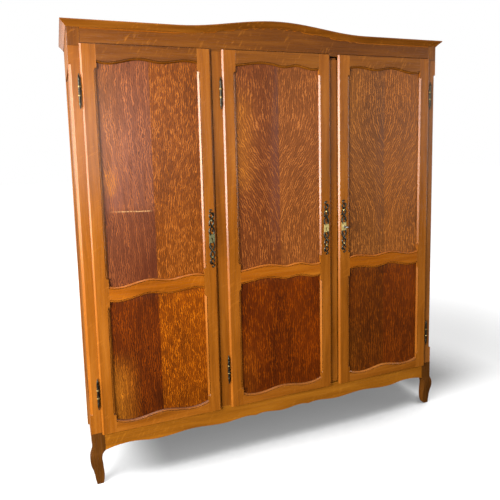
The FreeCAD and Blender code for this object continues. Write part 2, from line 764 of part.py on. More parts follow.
def door_rail(name, x, low, high):
    """A rail between the stiles: each edge has a level, and a wave where it meets a panel."""
    left, run = x + " + stile_width", "door_width - 2*stile_width"
    start, length, plane, deep = (value(text) for text in (left, run, "door_front", "wave_depth"))
    curves, rounds, tools = [], [], []
    for end, (level, wave) in (("low", low), ("high", high)):
        points = [Vector(start + share * length, plane, value(level) + height * deep)
                  for share, height in wave or straight_run]
        curve = spline(points) if wave else line(*points)
        rounds.append((middle_of(curve), "moulding" if wave else "lip_ease"))
        curves.append(curve if end == "low" else curve.reversed())
        if wave:
            groove_z = level + " - wave_reach" + ("" if end == "low" else " - groove_depth")
            tools.append(box("%s_%s_groove" % (name, end), (left, "panel_plane", groove_z),
                             (run, "panel_thickness", "2*wave_reach + groove_depth")))
        else:
            lip_z = level if end == "low" else level + " - rim"
            tools.append(box("%s_%s_lip" % (name, end), (left, "front", lip_z),
                             (run, "tongue_thickness", "rim")))
    ends = [line(curves[0].valueAt(curves[0].LastParameter), points[-1]),
            line(curves[0].valueAt(curves[0].FirstParameter), points[0])]
    board = plate(name + "_plain", curves + ends, Vector(0, 1, 0), "door_thickness")
    keep(carve(name, rounded(name + "_round", board, rounds), tools))


def door_leaves(name, x):
    """Mortises in the door's edge for the hinge leaves."""
    return [box("%s_leaf_mortise_%s" % (name, level),
                (x, "hinge_y - leaf_thickness/2", z + " + knuckle_gap"),
                ("leaf_depth", "leaf_thickness", "leaf_height"))
            for level, z in (("upper", "upper_hinge_z"), ("lower", "lower_hinge_z"))]


def door(name, x, hung, wave, key_x):
    """One framed door with two panels, hung on its left or its right side."""
    right_x = "(%s + door_width - stile_width)" % x
    leaf_x = x if hung == "left" else x + " + door_width - leaf_depth"
    leaves = door_leaves(name, leaf_x)
    hole = keyhole(name + "_keyhole", key_x, "door_front", "door_thickness") if key_x else []
    left_work, right_work = (leaves, hole) if hung == "left" else (hole, leaves)
    left_name, right_name = ("hinge", "lock") if hung == "left" else ("lock", "hinge")
    stile("%s_%s_stile" % (name, left_name), x, "left", left_work)
    stile("%s_%s_stile" % (name, right_name), right_x, "right", right_work)
    door_rail(name + "_top_rail", x, ("top_edge", wave), ("door_top", None))
    door_rail(name + "_mid_rail", x, ("mid_lower_edge", wave), ("mid_upper_edge", wave))
    door_rail(name + "_bottom_rail", x, ("door_z", None), ("bottom_edge", foot_wave))
    panels = [box("%s_%s_panel" % (name, level),
                  (x + " + stile_width - panel_seat", "panel_plane", low + " - wave_reach - panel_seat"),
                  ("door_width - 2*(stile_width - panel_seat)", "panel_thickness",
                   "%s - %s + 2*(wave_reach + panel_seat)" % (high, low)))
              for level, low, high in (("upper", "mid_upper_edge", "top_edge"),
                                       ("lower", "bottom_edge", "mid_lower_edge"))]
    keep(gather(name + "_panels", panels))


def vine(name, x, end, phase):
    """A winding strap that narrows from the plate to the tip."""
    centre, middle, plane = value(x), value("lock_z"), value("door_front - plate_thickness")
    root, tip = value("plate_height/2 - plate_thickness"), value("escutcheon_length/2")
    sway, width = value("vine_sway"), value("vine_width")

    def side(offset):
        points = []
        for index in range(vine_stations + 1):
            share = index / vine_stations
            bend = phase * sway * math.sin(math.pi * vine_lobes * share)
            taper = 1 - vine_taper * share
            points.append(Vector(centre + (bend + offset * width) * taper, plane,
                                 middle + end * (root + share * (tip - root))))
        return points
    left, right = side(-0.5), side(0.5)
    edges = [spline(left), line(left[-1], right[-1]), spline(right), line(right[0], left[0])]
    return plate(name, edges, Vector(0, 1, 0), "plate_thickness")


def escutcheon(name, x):
    pieces = [box(name + "_plate", (x + " - plate_width/2", "door_front - plate_thickness",
                                    "lock_z - plate_height/2"),
                  ("plate_width", "plate_thickness", "plate_height"))]
    for place, end in (("upper", 1), ("lower", -1)):
        for strap, phase in (("first", 1), ("second", -1)):
            pieces.append(vine("%s_%s_%s_vine" % (name, place, strap), x, end, phase))
    hole = keyhole(name + "_keyhole", x, "door_front - plate_thickness", "plate_thickness")
    keep(carve(name, fuse(name + "_solid", pieces), hole))


def lock(name, edge, key_x, side):
    """A rim lock on the back of a door, and its bolt, whose nose leaves at the door's edge."""
    left_side = side == "left"
    case_x = edge + " - lock_case_width" if left_side else edge
    rest = edge + " - bolt_length" if left_side else edge + " - bolt_nose"
    wall_x = edge + " - lock_wall" if left_side else edge
    low = "lock_z - lock_case_height/2"
    case = box(name + "_case_solid", (case_x, "door_back", low),
               ("lock_case_width", "lock_case_depth", "lock_case_height"))
    hollow = box(name + "_hollow", (case_x + " + lock_wall", "door_back + lock_wall", low + " + lock_wall"),
                 ("lock_case_width - 2*lock_wall", "lock_case_depth - 2*lock_wall",
                  "lock_case_height - 2*lock_wall"))
    mouth = box(name + "_mouth", (wall_x, "bolt_y - bolt_clearance", "bolt_z - bolt_clearance"),
                ("lock_wall", "bolt_thickness + 2*bolt_clearance", "bolt_height + 2*bolt_clearance"))
    hole = keyhole(name + "_keyhole", key_x, "door_back", "lock_wall")
    keep(carve(name + "_case", case, [hollow, mouth] + hole))
    keep(box(name + "_bolt", (rest, "bolt_y", "bolt_z"), ("bolt_length", "bolt_thickness", "bolt_height")))


def key():
    """The key, standing in the right door's lock with its bow level."""
    x, tip = "right_key_x", "(door_back + lock_case_depth - 2*lock_wall)"
    bow_y = "(front - key_reach + key_bow + key_bow_wire)"
    bow = doc.addObject("Part::Torus", "key_ring")
    bind(bow, (x, bow_y, "lock_z"), Radius1="key_bow", Radius2="key_bow_wire")
    shank = cylinder("key_stem", (x, bow_y + " + key_bow", "lock_z"), "key_shank",
                     "%s - %s - key_bow" % (tip, bow_y), "y")
    collar_y = "door_front - plate_thickness - bolt_clearance - key_bow_wire"
    collar = cylinder("key_shoulder", (x, collar_y, "lock_z"),
                      "key_collar", "key_bow_wire", "y")
    bit = box("key_web", (x, tip + " - key_bit_length", "lock_z - key_bit_thickness/2"),
              ("key_bit", "key_bit_length", "key_bit_thickness"))
    keep(fuse("key", [bow, shank, collar, bit]))


def flush_mortise(name, z):
    """Slot in the frame that a flush bolt shoots into."""
    return box(name, ("flush_bolt_x - bolt_clearance", "flush_bolt_y - bolt_clearance", z),
               ("flush_bolt_width + 2*bolt_clearance", "flush_bolt_thickness + 2*bolt_clearance",
                "bolt_throw"))


def flush_bolts():
    """Two bolts that hold the centre door, each in two staples on the back of its lock stile."""
    guides = []
    for name, z in (("top", "(door_top - rim - flush_bolt_length)"), ("bottom", "(door_z + rim)")):
        bar = box(name + "_flush_bolt_bar", ("flush_bolt_x", "flush_bolt_y", z),
                  ("flush_bolt_width", "flush_bolt_thickness", "flush_bolt_length"))
        knob = cylinder(name + "_flush_bolt_knob",
                        ("flush_bolt_x + flush_bolt_width/2", "flush_bolt_y", z + " + flush_bolt_length/2"),
                        "flush_bolt_width/2", "2*flush_bolt_thickness", "y")
        keep(fuse(name + "_flush_bolt", [bar, knob]))
        for place, level in (("lower", z + " + guide_inset"),
                             ("upper", z + " + flush_bolt_length - guide_inset - guide_height")):
            staple = "%s_%s_guide" % (name, place)
            body = box(staple + "_body", ("flush_bolt_x - bolt_clearance - guide_wall", "door_back", level),
                       ("flush_bolt_width + 2*(bolt_clearance + guide_wall)",
                        "flush_bolt_thickness + 2*bolt_clearance + guide_wall", "guide_height"))
            channel = box(staple + "_channel", ("flush_bolt_x - bolt_clearance", "door_back", level),
                          ("flush_bolt_width + 2*bolt_clearance",
                           "flush_bolt_thickness + 2*bolt_clearance", "guide_height"))
            guides.append(carve(staple, body, [channel]))
    keep(gather("flush_bolt_guides", guides))


def false_mullion():
    """Strip planted on the back of the centre door, which closes the gap to the right door."""
    strip = box("false_mullion_strip", ("strip_x", "door_back", "base_height + strip_end_gap"),
                ("strip_width", "strip_thickness", "carcase_height - 2*strip_end_gap"))
    mortise = box("false_mullion_mortise",
                  ("strip_x + strip_width - bolt_throw", "bolt_y - bolt_clearance",
                   "bolt_z - bolt_clearance"),
                  ("bolt_throw", "bolt_thickness + 2*bolt_clearance", "bolt_height + 2*bolt_clearance"))
    keep(carve("false_mullion", strip, [mortise]))


apron()
base_rails()
front_feet()
back_feet()
floor_board()
front_posts()
back_posts()
sides()
mullion_and_partition()
back_boards()
top_frame()
cornice()
shelves()
clothes_rail()
door("left_door", "left_door", "left", left_wave, "left_key_x")
door("centre_door", "centre_door", "left", centre_wave, None)
door("right_door", "right_door", "right", right_wave, "right_key_x")
hinges()
escutcheon("left_escutcheon", "left_key_x")
escutcheon("centre_escutcheon", "centre_key_x")
escutcheon("right_escutcheon", "right_key_x")
lock("left_lock", "left_lock_edge", "left_key_x", "left")
lock("right_lock", "right_lock_edge", "right_key_x", "right")
key()
flush_bolts()
false_mullion()

doc.recompute()
for item in doc.Objects:
    if "Invalid" in item.State or "Error" in item.State:
        raise RuntimeError("%s failed: %s" % (item.Name, item.State))
for item in nodes:
    if item.Shape.isNull() or not item.Shape.isValid() or not item.Shape.Solids:
        raise RuntimeError("%s has no valid solid" % item.Label)

os.makedirs("parts", exist_ok=True)
for item in nodes:
    item.Shape.exportStep("parts/%s.step" % item.Label)
print(len(nodes), "nodes,", sum(len(item.Shape.Solids) for item in nodes), "solids")
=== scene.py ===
import json
import math

import bpy
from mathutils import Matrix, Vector


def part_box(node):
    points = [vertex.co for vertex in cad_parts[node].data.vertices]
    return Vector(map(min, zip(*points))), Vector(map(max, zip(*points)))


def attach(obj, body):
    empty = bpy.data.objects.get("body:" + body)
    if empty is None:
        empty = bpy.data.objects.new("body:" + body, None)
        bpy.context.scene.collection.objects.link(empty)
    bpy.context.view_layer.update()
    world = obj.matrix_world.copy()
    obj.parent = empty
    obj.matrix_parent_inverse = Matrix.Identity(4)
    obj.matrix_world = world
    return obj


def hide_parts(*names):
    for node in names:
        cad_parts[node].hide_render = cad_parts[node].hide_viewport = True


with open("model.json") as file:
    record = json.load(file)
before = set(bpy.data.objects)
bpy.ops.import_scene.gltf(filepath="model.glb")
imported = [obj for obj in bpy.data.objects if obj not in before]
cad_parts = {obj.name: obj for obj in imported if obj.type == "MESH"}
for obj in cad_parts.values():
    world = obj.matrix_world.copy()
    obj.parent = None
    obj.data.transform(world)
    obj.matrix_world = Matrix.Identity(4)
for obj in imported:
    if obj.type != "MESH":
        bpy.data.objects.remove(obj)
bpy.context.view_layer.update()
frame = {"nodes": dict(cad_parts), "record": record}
nodes = frame["nodes"]
bodyOf = {node: body for body, members in frame["record"]["behaviour"]["bodies"].items() for node in members}
print("frame loaded:", len(nodes), "nodes")


class Wire:
    # wraps one shader socket, so that sums read as Python expressions
    def __init__(self, tree, socket=None):
        self.tree = tree
        self.socket = socket

    def node(self, kind, settings=None, plugs=None, out=0):
        # settings go in first, then the values or wires of the sockets
        made = self.tree.nodes.new("ShaderNode" + kind)
        for key, value in (settings or {}).items():
            if key == "stops":
                stops = made.color_ramp.elements
                while len(stops) < len(value):
                    stops.new(1.0)
                for stop, (place, colour) in zip(stops, value):
                    stop.position = place
                    stop.color = (*colour, 1.0)
            else:
                setattr(made, key, value)
        for key, value in (plugs or {}).items():
            socket = made.inputs[key]
            if isinstance(value, Wire):
                self.tree.links.new(value.socket, socket)
            elif socket.type == "RGBA" and len(value) == 3:
                socket.default_value = (*value, 1.0)
            else:
                socket.default_value = value
        return Wire(self.tree, made.outputs[out] if made.outputs else None)

    def sum(self, operation, *others):
        return self.node("Math", {"operation": operation}, dict(enumerate((self, *others))))

    def __add__(self, other):
        return self.sum("ADD", other)

    __radd__ = __add__

    def __sub__(self, other):
        return self.sum("SUBTRACT", other)

    def __rsub__(self, other):
        return self.node("Math", {"operation": "SUBTRACT"}, {0: other, 1: self})

    def __mul__(self, other):
        return self.sum("MULTIPLY", other)

    __rmul__ = __mul__

    def __truediv__(self, other):
        return self.sum("DIVIDE", other)

    def __rtruediv__(self, other):
        return self.node("Math", {"operation": "DIVIDE"}, {0: other, 1: self})

    def step(self, low, high):
        # a smooth rise from 0 at low to 1 at high
        return self.node("MapRange", {"interpolation_type": "SMOOTHSTEP"},
                         {"Value": self, "From Min": low, "From Max": high})

    def blend(self, other, share):
        # this colour at share 0, the other at 1
        return self.mixed(share, self, other)

    def mixed(self, share, first, second):
        # a colour Mix node's sockets go by number, as their names repeat
        return self.node("Mix", {"data_type": "RGBA"}, {0: share, 6: first, 7: second}, 2)


def newMaterial(name):
    made = bpy.data.materials.new(name)
    made.use_nodes = True
    made.node_tree.nodes.clear()
    return made, Wire(made.node_tree)


def placeOf(start, letters):
    # the named parts of the place on a piece
    place = start.node("TexCoord", None, None, "Object")
    return [start.node("SeparateXYZ", None, {"Vector": place}, letter) for letter in letters]


def finishMaterial(start, constants, base, rough, height, bump, reach=0.0005):
    # constants sit on the shader's own sockets, wires feed its colour, roughness and normal
    normal = start.node("Bump", None, {"Strength": bump, "Distance": reach, "Height": height})
    plugs = {**constants, "Base Color": base, "Roughness": rough, "Normal": normal}
    shader = start.node("BsdfPrincipled", None, plugs)
    start.node("OutputMaterial", None, {"Surface": shader})


# linear colours: the dark of the growth rings, the middle, the light of the early wood, and the rays' share
oakTones = {
    "frame": ((0.138, 0.037, 0.002), (0.262, 0.076, 0.005), (0.382, 0.127, 0.014), 0.16),
    # top and crown: darker copies of the frame's oak, painted shade towards the top; top also has more rays
    "top": ((0.080, 0.021, 0.001), (0.150, 0.042, 0.002), (0.240, 0.078, 0.006), 0.60),
    # warm: lighter oak; on the frieze bead it is a painted highlight
    "warm": ((0.170, 0.042, 0.002), (0.300, 0.078, 0.003), (0.420, 0.130, 0.009), 0.20),
    "golden": ((0.165, 0.050, 0.003), (0.300, 0.098, 0.006), (0.425, 0.160, 0.014), 0.20),
    "crown": ((0.105, 0.029, 0.002), (0.198, 0.059, 0.004), (0.300, 0.102, 0.010), 0.40),
    # pale: a lighter copy of the frame's oak, painted light on the right post
    "pale": ((0.170, 0.055, 0.009), (0.290, 0.096, 0.016), (0.400, 0.155, 0.034), 0.10),
    # shaded and flankShaded: darker copies, painted shade on the feet and on the sides
    "shaded": ((0.045, 0.014, 0.002), (0.095, 0.031, 0.004), (0.150, 0.056, 0.009), 0.10),
    "flankShaded": ((0.120, 0.036, 0.003), (0.225, 0.070, 0.006), (0.325, 0.115, 0.014), 0.10),
    "inside": ((0.250, 0.130, 0.055), (0.400, 0.240, 0.115), (0.500, 0.320, 0.170), 0.10),
}
oakGloss = {"flankShaded": 0.46}  # the other tones have the grain's gloss
oakGrain = {"seedStep": 0.617, "seedShift": (1.37, 0.71, 2.13), "stops": (0.28, 0.5, 0.74),
            "swayPerMetre": (3.0, 3.0, 1.6), "sway": 0.05,
            "ringsPerMetre": 46.0, "ringStretch": 0.055, "ringShare": 0.62,
            "driftPerMetre": (3.2, 2.0, 1.6), "driftShare": 0.38,
            "poresPerMetre": 520.0, "poreStretch": 0.03, "poreSteps": (0.56, 0.72), "poreShare": 0.45,
            "raysPerMetre": 80.0, "rayStretch": 0.20, "raySlant": 0.6, "raySteps": (0.54, 0.72),
            "rayGlow": 1.5, "patchesPerMetre": (14.0, 4.0, 9.0), "patchSteps": (0.40, 0.62),
            "specular": 0.36, "gloss": 0.25, "glossSpread": 0.12, "bump": 0.16, "ringBump": 0.35}
# across, through and along the board; the rails of a frame lie both ways, along x and y
axes = {"x": ("Z", "Y", "X"), "y": ("Z", "X", "Y"), "z": ("X", "Y", "Z"), "xy": ("Z", "Z", "XY")}


def grainPlace(start, along, seed):
    # the place on the board as across, through and along, shifted by the seed
    parts = dict(zip("XYZ", placeOf(start, "XYZ")))
    parts["XY"] = parts["X"] + parts["Y"]
    return [parts[letter] + seed * shift for letter, shift in zip(axes[along], oakGrain["seedShift"])]


def noiseAt(start, across, through, length, detail, rough=0.55):
    place = start.node("CombineXYZ", None, {"X": across, "Y": through, "Z": length})
    plugs = {"Vector": place, "Scale": 1.0, "Detail": detail, "Roughness": rough}
    return start.node("TexNoise", None, plugs, "Fac")


# the darkening of quirks and joints is painted shade with some grime; the pale edges are wear
wearLook = {"creviceShadeReach": 0.004, "creviceShade": (0.016, 0.006, 0.002), "creviceShadeShare": 0.92,
            "creviceShadeSteps": (0.30, 0.86), "edgeReach": 0.0022, "edgeShare": 0.35, "edgeSteps": (0.30, 0.80),
            "samples": 8}


def wornAndCreviceShaded(start, base, light):
    # handling pales the sharp edges, and painted shade from ambient occlusion, with some old wax, darkens the
    # quirks and joints
    samples = wearLook["samples"]
    near = start.node("AmbientOcclusion", {"samples": samples}, {"Distance": wearLook["creviceShadeReach"]}, "AO")
    thin = start.node("AmbientOcclusion", {"samples": samples, "inside": True, "only_local": True},
                      {"Distance": wearLook["edgeReach"]}, "AO")
    base = base.blend(light, (1 - thin.step(*wearLook["edgeSteps"])) * wearLook["edgeShare"])
    return base.blend(wearLook["creviceShade"], (1 - near.step(*wearLook["creviceShadeSteps"])) * wearLook["creviceShadeShare"])


# the mouldings over the bottom rails, which lie between the door's face and the panel, are made darker
mouldLook = {"tone": (0.085, 0.024, 0.008), "from": (-0.2742, -0.2722), "to": (-0.2642, -0.2652),
             "shares": {"left_door_bottom_rail": 0.8, "centre_door_bottom_rail": 0.4}}


def oak(name, along, tone, seed, darkened=0.0):
    made, start = newMaterial(name)
    across, through, length = grainPlace(start, along, seed)
    grain = oakGrain
    dark, middle, light, rayShare = oakTones[tone]

    def noise(pitches):
        return noiseAt(start, across * pitches[0], through * pitches[1], length * pitches[2], 2.0)

    sway = noise(grain["swayPerMetre"]) - 0.5
    pitch, stretch = grain["ringsPerMetre"], grain["ringStretch"]
    rings = noiseAt(start, (across + sway * grain["sway"]) * pitch, through * pitch,
                    length * pitch * stretch, 4.0, 0.6)
    fine, run = grain["poresPerMetre"], grain["poreStretch"]
    pores = noiseAt(start, across * fine, through * fine, length * fine * run, 2.0).step(*grain["poreSteps"])
    drift = noise(grain["driftPerMetre"])
    figure = rings * grain["ringShare"] + drift * grain["driftShare"]
    stops = list(zip(grain["stops"], (dark, middle, light)))
    base = start.node("ValToRGB", {"stops": stops}, {"Fac": figure}, "Color")
    base = base.blend(dark, pores * grain["poreShare"])
    slant, fleck = grain["raySlant"], grain["raysPerMetre"]
    rays = noiseAt(start, (length - across * slant) * fleck, through * fleck,
                   (across + length * slant) * fleck * grain["rayStretch"], 2.0).step(*grain["raySteps"])
    patch = noise(grain["patchesPerMetre"]).step(*grain["patchSteps"])
    golden = [share * grain["rayGlow"] for share in light]  # quartered wood's rays catch the light
    base = base.blend(golden, rays * patch * rayShare)
    if darkened:
        deep = placeOf(start, "Y")[0]
        moulding = deep.step(*mouldLook["from"]) * deep.step(*mouldLook["to"])
        base = base.blend(mouldLook["tone"], moulding * darkened)
    base = wornAndCreviceShaded(start, base, golden)
    spread = grain["glossSpread"]
    rough = oakGloss.get(tone, grain["gloss"]) + pores * spread + (drift - 0.5) * spread
    finishMaterial(start, {"Specular IOR Level": grain["specular"]}, base, rough,
                   rings * grain["ringBump"] - pores, grain["bump"])
    return made


# the panels' veneer: fine wavy lines of gold on red-brown, the two leaves matched like a book about the seam
plainPanel = {"vee": 0.24, "sway": 0.06, "dash": (0.30, 0.30), "fleck": (0.30, 0.30),
              "sheenWide": (0.005, 0.080), "sheenLevels": (0.90, 1.10, 2.4, 2.0), "lowerGlow": 0.14,
              "bottomShade": 0.10, "marked": False}
panelLooks = {
    "left": {"seam": -0.598, "seed": 3.0, "pitch": 116.0, "vee": 0.06, "sway": 0.05, "dash": (0.10, 0.42),
             "tone": ((0.165, 0.045, 0.015), (0.178, 0.042, 0.0028)), "contrast": (0.56, 0.54),
             "fleck": (0.16, 0.32), "sheenColour": ((0.250, 0.090, 0.058), (0.190, 0.066, 0.030)),
             "sheenWide": (0.36, -0.12), "sheenLevels": (1.200, 1.24, 1.95, 1.62), "sheenShare": 0.54,
             "glow": 0.30, "glowLevels": (1.30, 1.40, 1.95, 1.75), "marked": True,
             "lowerShadeTint": ((0.56, 0.34, 0.05), (1.12, 0.97, 0.20)), "lowerGlow": 1.0, "bottomShade": 0.28},
    "centre": {**plainPanel, "seam": 0.0035, "seed": 11.0, "pitch": 90.0, "contrast": (0.44, 0.44),
               "tone": ((0.156, 0.038, 0.007), (0.212, 0.059, 0.011)),
               "sheenColour": ((0.120, 0.040, 0.026), (0.110, 0.038, 0.022)), "sheenShare": 0.62,
               "glow": 0.70, "glowLevels": (1.22, 1.36, 1.80, 1.62),
               "lowerShadeTint": ((0.70, 0.44, 0.06), (0.60, 0.34, 0.04))},
    "right": {**plainPanel, "seam": 0.598, "seed": 23.0, "pitch": 82.0, "contrast": (0.48, 0.48),
              "tone": ((0.186, 0.057, 0.010), (0.234, 0.069, 0.011)),
              "sheenColour": ((0.125, 0.046, 0.024), (0.130, 0.052, 0.024)), "sheenShare": 0.45,
              "glow": 0.34, "glowLevels": (1.40, 1.60, 2.0, 1.9),
              "lowerShadeTint": ((0.54, 0.36, 0.12), (0.54, 0.33, 0.10))},
}
panelGrain = {"front": (-0.260, -0.264), "lowerTop": (0.80, 0.92), "leafShift": 0.006,
              "veeLevels": (1.06, 1.66), "swayPerMetre": (4.2, 3.1), "ripplesPerMetre": (40.0, 30.0),
              "ripple": 0.024, "grainsPerMetre": 170.0, "grainStretch": 0.3, "grainTwist": 6.0,
              "grainShare": 1.4, "dashesPerMetre": 75.0, "dashSteps": (0.36, 0.60), "dashShare": 1.7,
              "plainShare": 0.5, "lineSharp": 1.8, "balance": 0.55, "driftPerMetre": (8.0, 2.8),
              "driftShare": 1.1, "cloud": 0.9, "darkest": 0.1, "fleck": (0.480, 0.190, 0.042),
              "fleckSteps": (0.2, 1.9), "streaksPerMetre": (45.0, 3.0), "streakSteps": (0.30, 0.66),
              "least": 0.2, "sheenFigure": 0.35, "sheenTurn": (1.40, 1.75), "gold": (0.520, 0.170, 0.012),
              "glowWide": (0.08, 0.22), "glowFigure": (0.3, 0.5), "glowLow": (0.62, 0.42),
              "bottomShadeLevels": (0.42, 0.32), "under": (0.060, 0.009, 0.002), "edge": 0.0005,
              "specular": 0.30, "gloss": 0.30, "glossSpread": 0.04, "bump": 0.02}
# on the left door's left leaf: a pale rubbed patch, and a dashed scuff with the leaf darker below it
markLook = {"level": 1.2118, "fall": -0.04, "half": 0.0036, "core": 0.3, "wobble": 0.003, "share": 0.62,
            "from": -0.80, "to": -0.605, "fadeIn": 0.08, "fadeOut": 0.02, "pale": (0.660, 0.370, 0.150),
            "dashesPerMetre": (260.0, 40.0), "dashSteps": (0.34, 0.62),
            "patch": (-0.785, 1.335), "reach": (0.045, 0.075), "patchShare": 0.45, "patchFigure": (0.5, 0.6),
            "underFrom": 0.01, "underTo": 0.02, "underShare": 0.42, "underWide": 0.30, "underLess": 0.8,
            "fade": (1.10, 0.93), "fadeShare": 0.25}


def panelOak(name, look):
    made, start = newMaterial(name)
    grain, mark = panelGrain, markLook
    wide, deep, tall = placeOf(start, "XYZ")
    offset = wide - look["seam"]
    half = offset.sum("GREATER_THAN", 0.0)  # 0 on the left leaf, 1 on the right leaf
    front = deep.step(*grain["front"])  # the painted sheen and the marks are only on the outside
    onLeft = (1 - half) * front
    low = 1 - tall.step(*grain["lowerTop"])  # 1 on the lower panel

    def perLeaf(pair):
        return half * (pair[1] - pair[0]) + pair[0]

    def between(levels):
        # rises over the first two heights, falls over the last two
        rise, full, gone, fall = levels
        return tall.step(rise, full) * tall.step(gone, fall)

    def noise(sideways, pitches, detail, shift=0.0, rough=0.55):
        height = tall * pitches[1]
        height = height + shift if shift else height
        return noiseAt(start, sideways * pitches[0], deep, height, detail, rough)

    def dimmed(colour, share):
        return start.node("VectorMath", {"operation": "SCALE"}, {0: colour, "Scale": share}, "Vector")

    def broken(mask):
        return mask * (1 - grain["least"]) + grain["least"]

    out = offset.sum("ABSOLUTE")  # distance from the seam
    leaf = out + half * grain["leafShift"] + look["seed"]
    sway = noise(leaf, grain["swayPerMetre"], 1.0, look["seed"]) - 0.5
    ripple = noise(leaf, grain["ripplesPerMetre"], 2.0, rough=0.7) - 0.5
    vee = tall.step(*grain["veeLevels"]) * look["vee"]  # the lines rise outwards from the seam
    lean = leaf - vee + sway * look["sway"] + ripple * grain["ripple"]
    fine, often = grain["grainsPerMetre"], grain["dashesPerMetre"]
    grains = noiseAt(start, lean * fine, deep, tall * fine * grain["grainStretch"], 2.0, 0.6) - 0.5
    dashHeight = tall * often * perLeaf(look["dash"])
    dashes = noiseAt(start, lean * often, deep, dashHeight, 1.0).step(*grain["dashSteps"])
    lines = (lean * (look["pitch"] * 2 * math.pi) + grains * grain["grainTwist"]).sum("SINE") * 0.5 + 0.5
    drift = noise(leaf, grain["driftPerMetre"], 2.0) - 0.5
    figure = lines.sum("POWER", grain["lineSharp"]) * (dashes * grain["dashShare"] + grain["plainShare"])
    figure = figure - grain["balance"] + grains * grain["grainShare"] + drift * grain["driftShare"]
    cloud = low * drift * grain["cloud"]  # the lower panels are cloudier
    shade = (figure * perLeaf(look["contrast"]) + cloud + 1).sum("MAXIMUM", grain["darkest"])
    base = dimmed(start.mixed(half, *look["tone"]), shade)
    base = base.blend(grain["fleck"], figure.step(*grain["fleckSteps"]) * perLeaf(look["fleck"]))
    streaks = broken(noise(wide, grain["streaksPerMetre"], 2.0, look["seed"]).step(*grain["streakSteps"]))
    # a painted sheen: a pale pinkish reflection laid over part of each left leaf, in streaks, less on the
    # figure
    sheenMask = onLeft * (1 - out.step(*look["sheenWide"])) * between(look["sheenLevels"])
    sheenMask = sheenMask * streaks * (1 - figure * grain["sheenFigure"])
    sheenColour = start.mixed(tall.step(*grain["sheenTurn"]), *look["sheenColour"])
    base = base.blend(sheenColour, sheenMask * look["sheenShare"])
    figured, plain = grain["glowFigure"]
    edge = onLeft * out.step(*grain["glowWide"]) * (figure * figured + plain)
    # the lower panels are tinted darker, partly as veneer tone and partly as painted shade
    lowerShadeMix = start.mixed(low, (1, 1, 1), start.mixed(half, *look["lowerShadeTint"]))
    base = start.node("Mix", {"data_type": "RGBA", "blend_type": "MULTIPLY"}, {0: 1.0, 6: base, 7: lowerShadeMix}, 2)
    base = base.blend(grain["gold"], edge * between(look["glowLevels"]) * look["glow"])
    base = base.blend(grain["gold"], edge * low * tall.step(*grain["glowLow"]) * look["lowerGlow"])
    # painted shade darkens the lower panels towards their bottom
    base = dimmed(base, 1 - tall.step(*grain["bottomShadeLevels"]) * look["bottomShade"])
    if look["marked"]:
        level, first, last = mark["level"], mark["from"], mark["to"]
        below = onLeft * (1 - low) * tall.step(level + mark["underFrom"], level - mark["underTo"])
        deeper = tall.step(*mark["fade"]) * mark["fadeShare"] + mark["underShare"]
        inner = 1 - out.step(0.0, mark["underWide"]) * mark["underLess"]
        base = base.blend(grain["under"], below * deeper * inner)
        (across, up), (reachWide, reachTall) = mark["patch"], mark["reach"]
        over = ((wide - across) / reachWide).sum("POWER", 2.0) + ((tall - up) / reachTall).sum("POWER", 2.0)
        figured, plain = mark["patchFigure"]
        rubbed = (1 - over.step(0.0, 1.0)) * (figure * figured + plain) * front
        base = base.blend(grain["gold"], rubbed * mark["patchShare"])
        middle = level + (wide - (first + last) / 2) * mark["fall"]
        away = (tall - middle + ripple * mark["wobble"]).sum("ABSOLUTE")
        along = wide.step(first, first + mark["fadeIn"]) * wide.step(last, last - mark["fadeOut"])
        dashes = broken(noise(wide, mark["dashesPerMetre"], 1.0).step(*mark["dashSteps"]))
        line = 1 - away.step(mark["half"] * mark["core"], mark["half"])
        base = base.blend(mark["pale"], line * along * front * dashes * mark["share"])
    base = wornAndCreviceShaded(start, base, grain["gold"])
    rough = grain["gloss"] - figure * grain["glossSpread"]
    finishMaterial(start, {"Specular IOR Level": grain["specular"]}, base, rough, figure, grain["bump"])
    return made


# dark and light colour, roughness, scale of the clouding and share of metal
metalLooks = {
    "bronze": ((0.008, 0.007, 0.005), (0.070, 0.061, 0.039), 0.31, 220.0, 0.85),
    "patina": ((0.035, 0.038, 0.016), (0.270, 0.250, 0.110), 0.42, 260.0, 0.40),
    "brass": ((0.480, 0.340, 0.090), (0.820, 0.660, 0.270), 0.28, 180.0, 0.45),
    "oldBrass": ((0.110, 0.070, 0.022), (0.420, 0.300, 0.110), 0.34, 400.0, 0.70),
    "steel": ((0.130, 0.125, 0.120), (0.420, 0.410, 0.400), 0.34, 90.0, 1.0),
}
metalGrain = {"stops": (0.3, 0.7), "speckScale": 6, "glossSpread": 0.2, "bump": 0.1, "bumpReach": 0.0003}


def metal(name):
    dark, light, gloss, scale, share = metalLooks[name]
    made, start = newMaterial(name + "Finish")
    place = start.node("TexCoord", None, None, "Object")
    fine = scale * metalGrain["speckScale"]
    cloud = start.node("TexNoise", None, {"Vector": place, "Scale": scale, "Detail": 4.0}, "Fac")
    speck = start.node("TexNoise", None, {"Vector": place, "Scale": fine, "Detail": 2.0}, "Fac")
    stops = list(zip(metalGrain["stops"], (dark, light)))
    base = start.node("ValToRGB", {"stops": stops}, {"Fac": cloud}, "Color")
    rough = gloss + (speck - 0.5) * metalGrain["glossSpread"]
    finishMaterial(start, {"Metallic": share}, base, rough, speck,
                   metalGrain["bump"], metalGrain["bumpReach"])
    return made


metals = {name: metal(name) for name in metalLooks}
print("finishes ready:", len(metals), "metals")

# distances in metres within which points are one, and angles in degrees
meshLimits = {"weld": 0.00002, "flatAngle": 0.4, "sliver": 0.00003, "point": 0.00001, "cap": 0.000001,
              "bevelAngle": 40, "boardAngle": 35, "metalAngle": 40}


def newObject(name, data):
    made = bpy.data.objects.new(name, data)
    bpy.context.scene.collection.objects.link(made)
    return made


def deselect():
    bpy.ops.object.select_all(action="DESELECT")


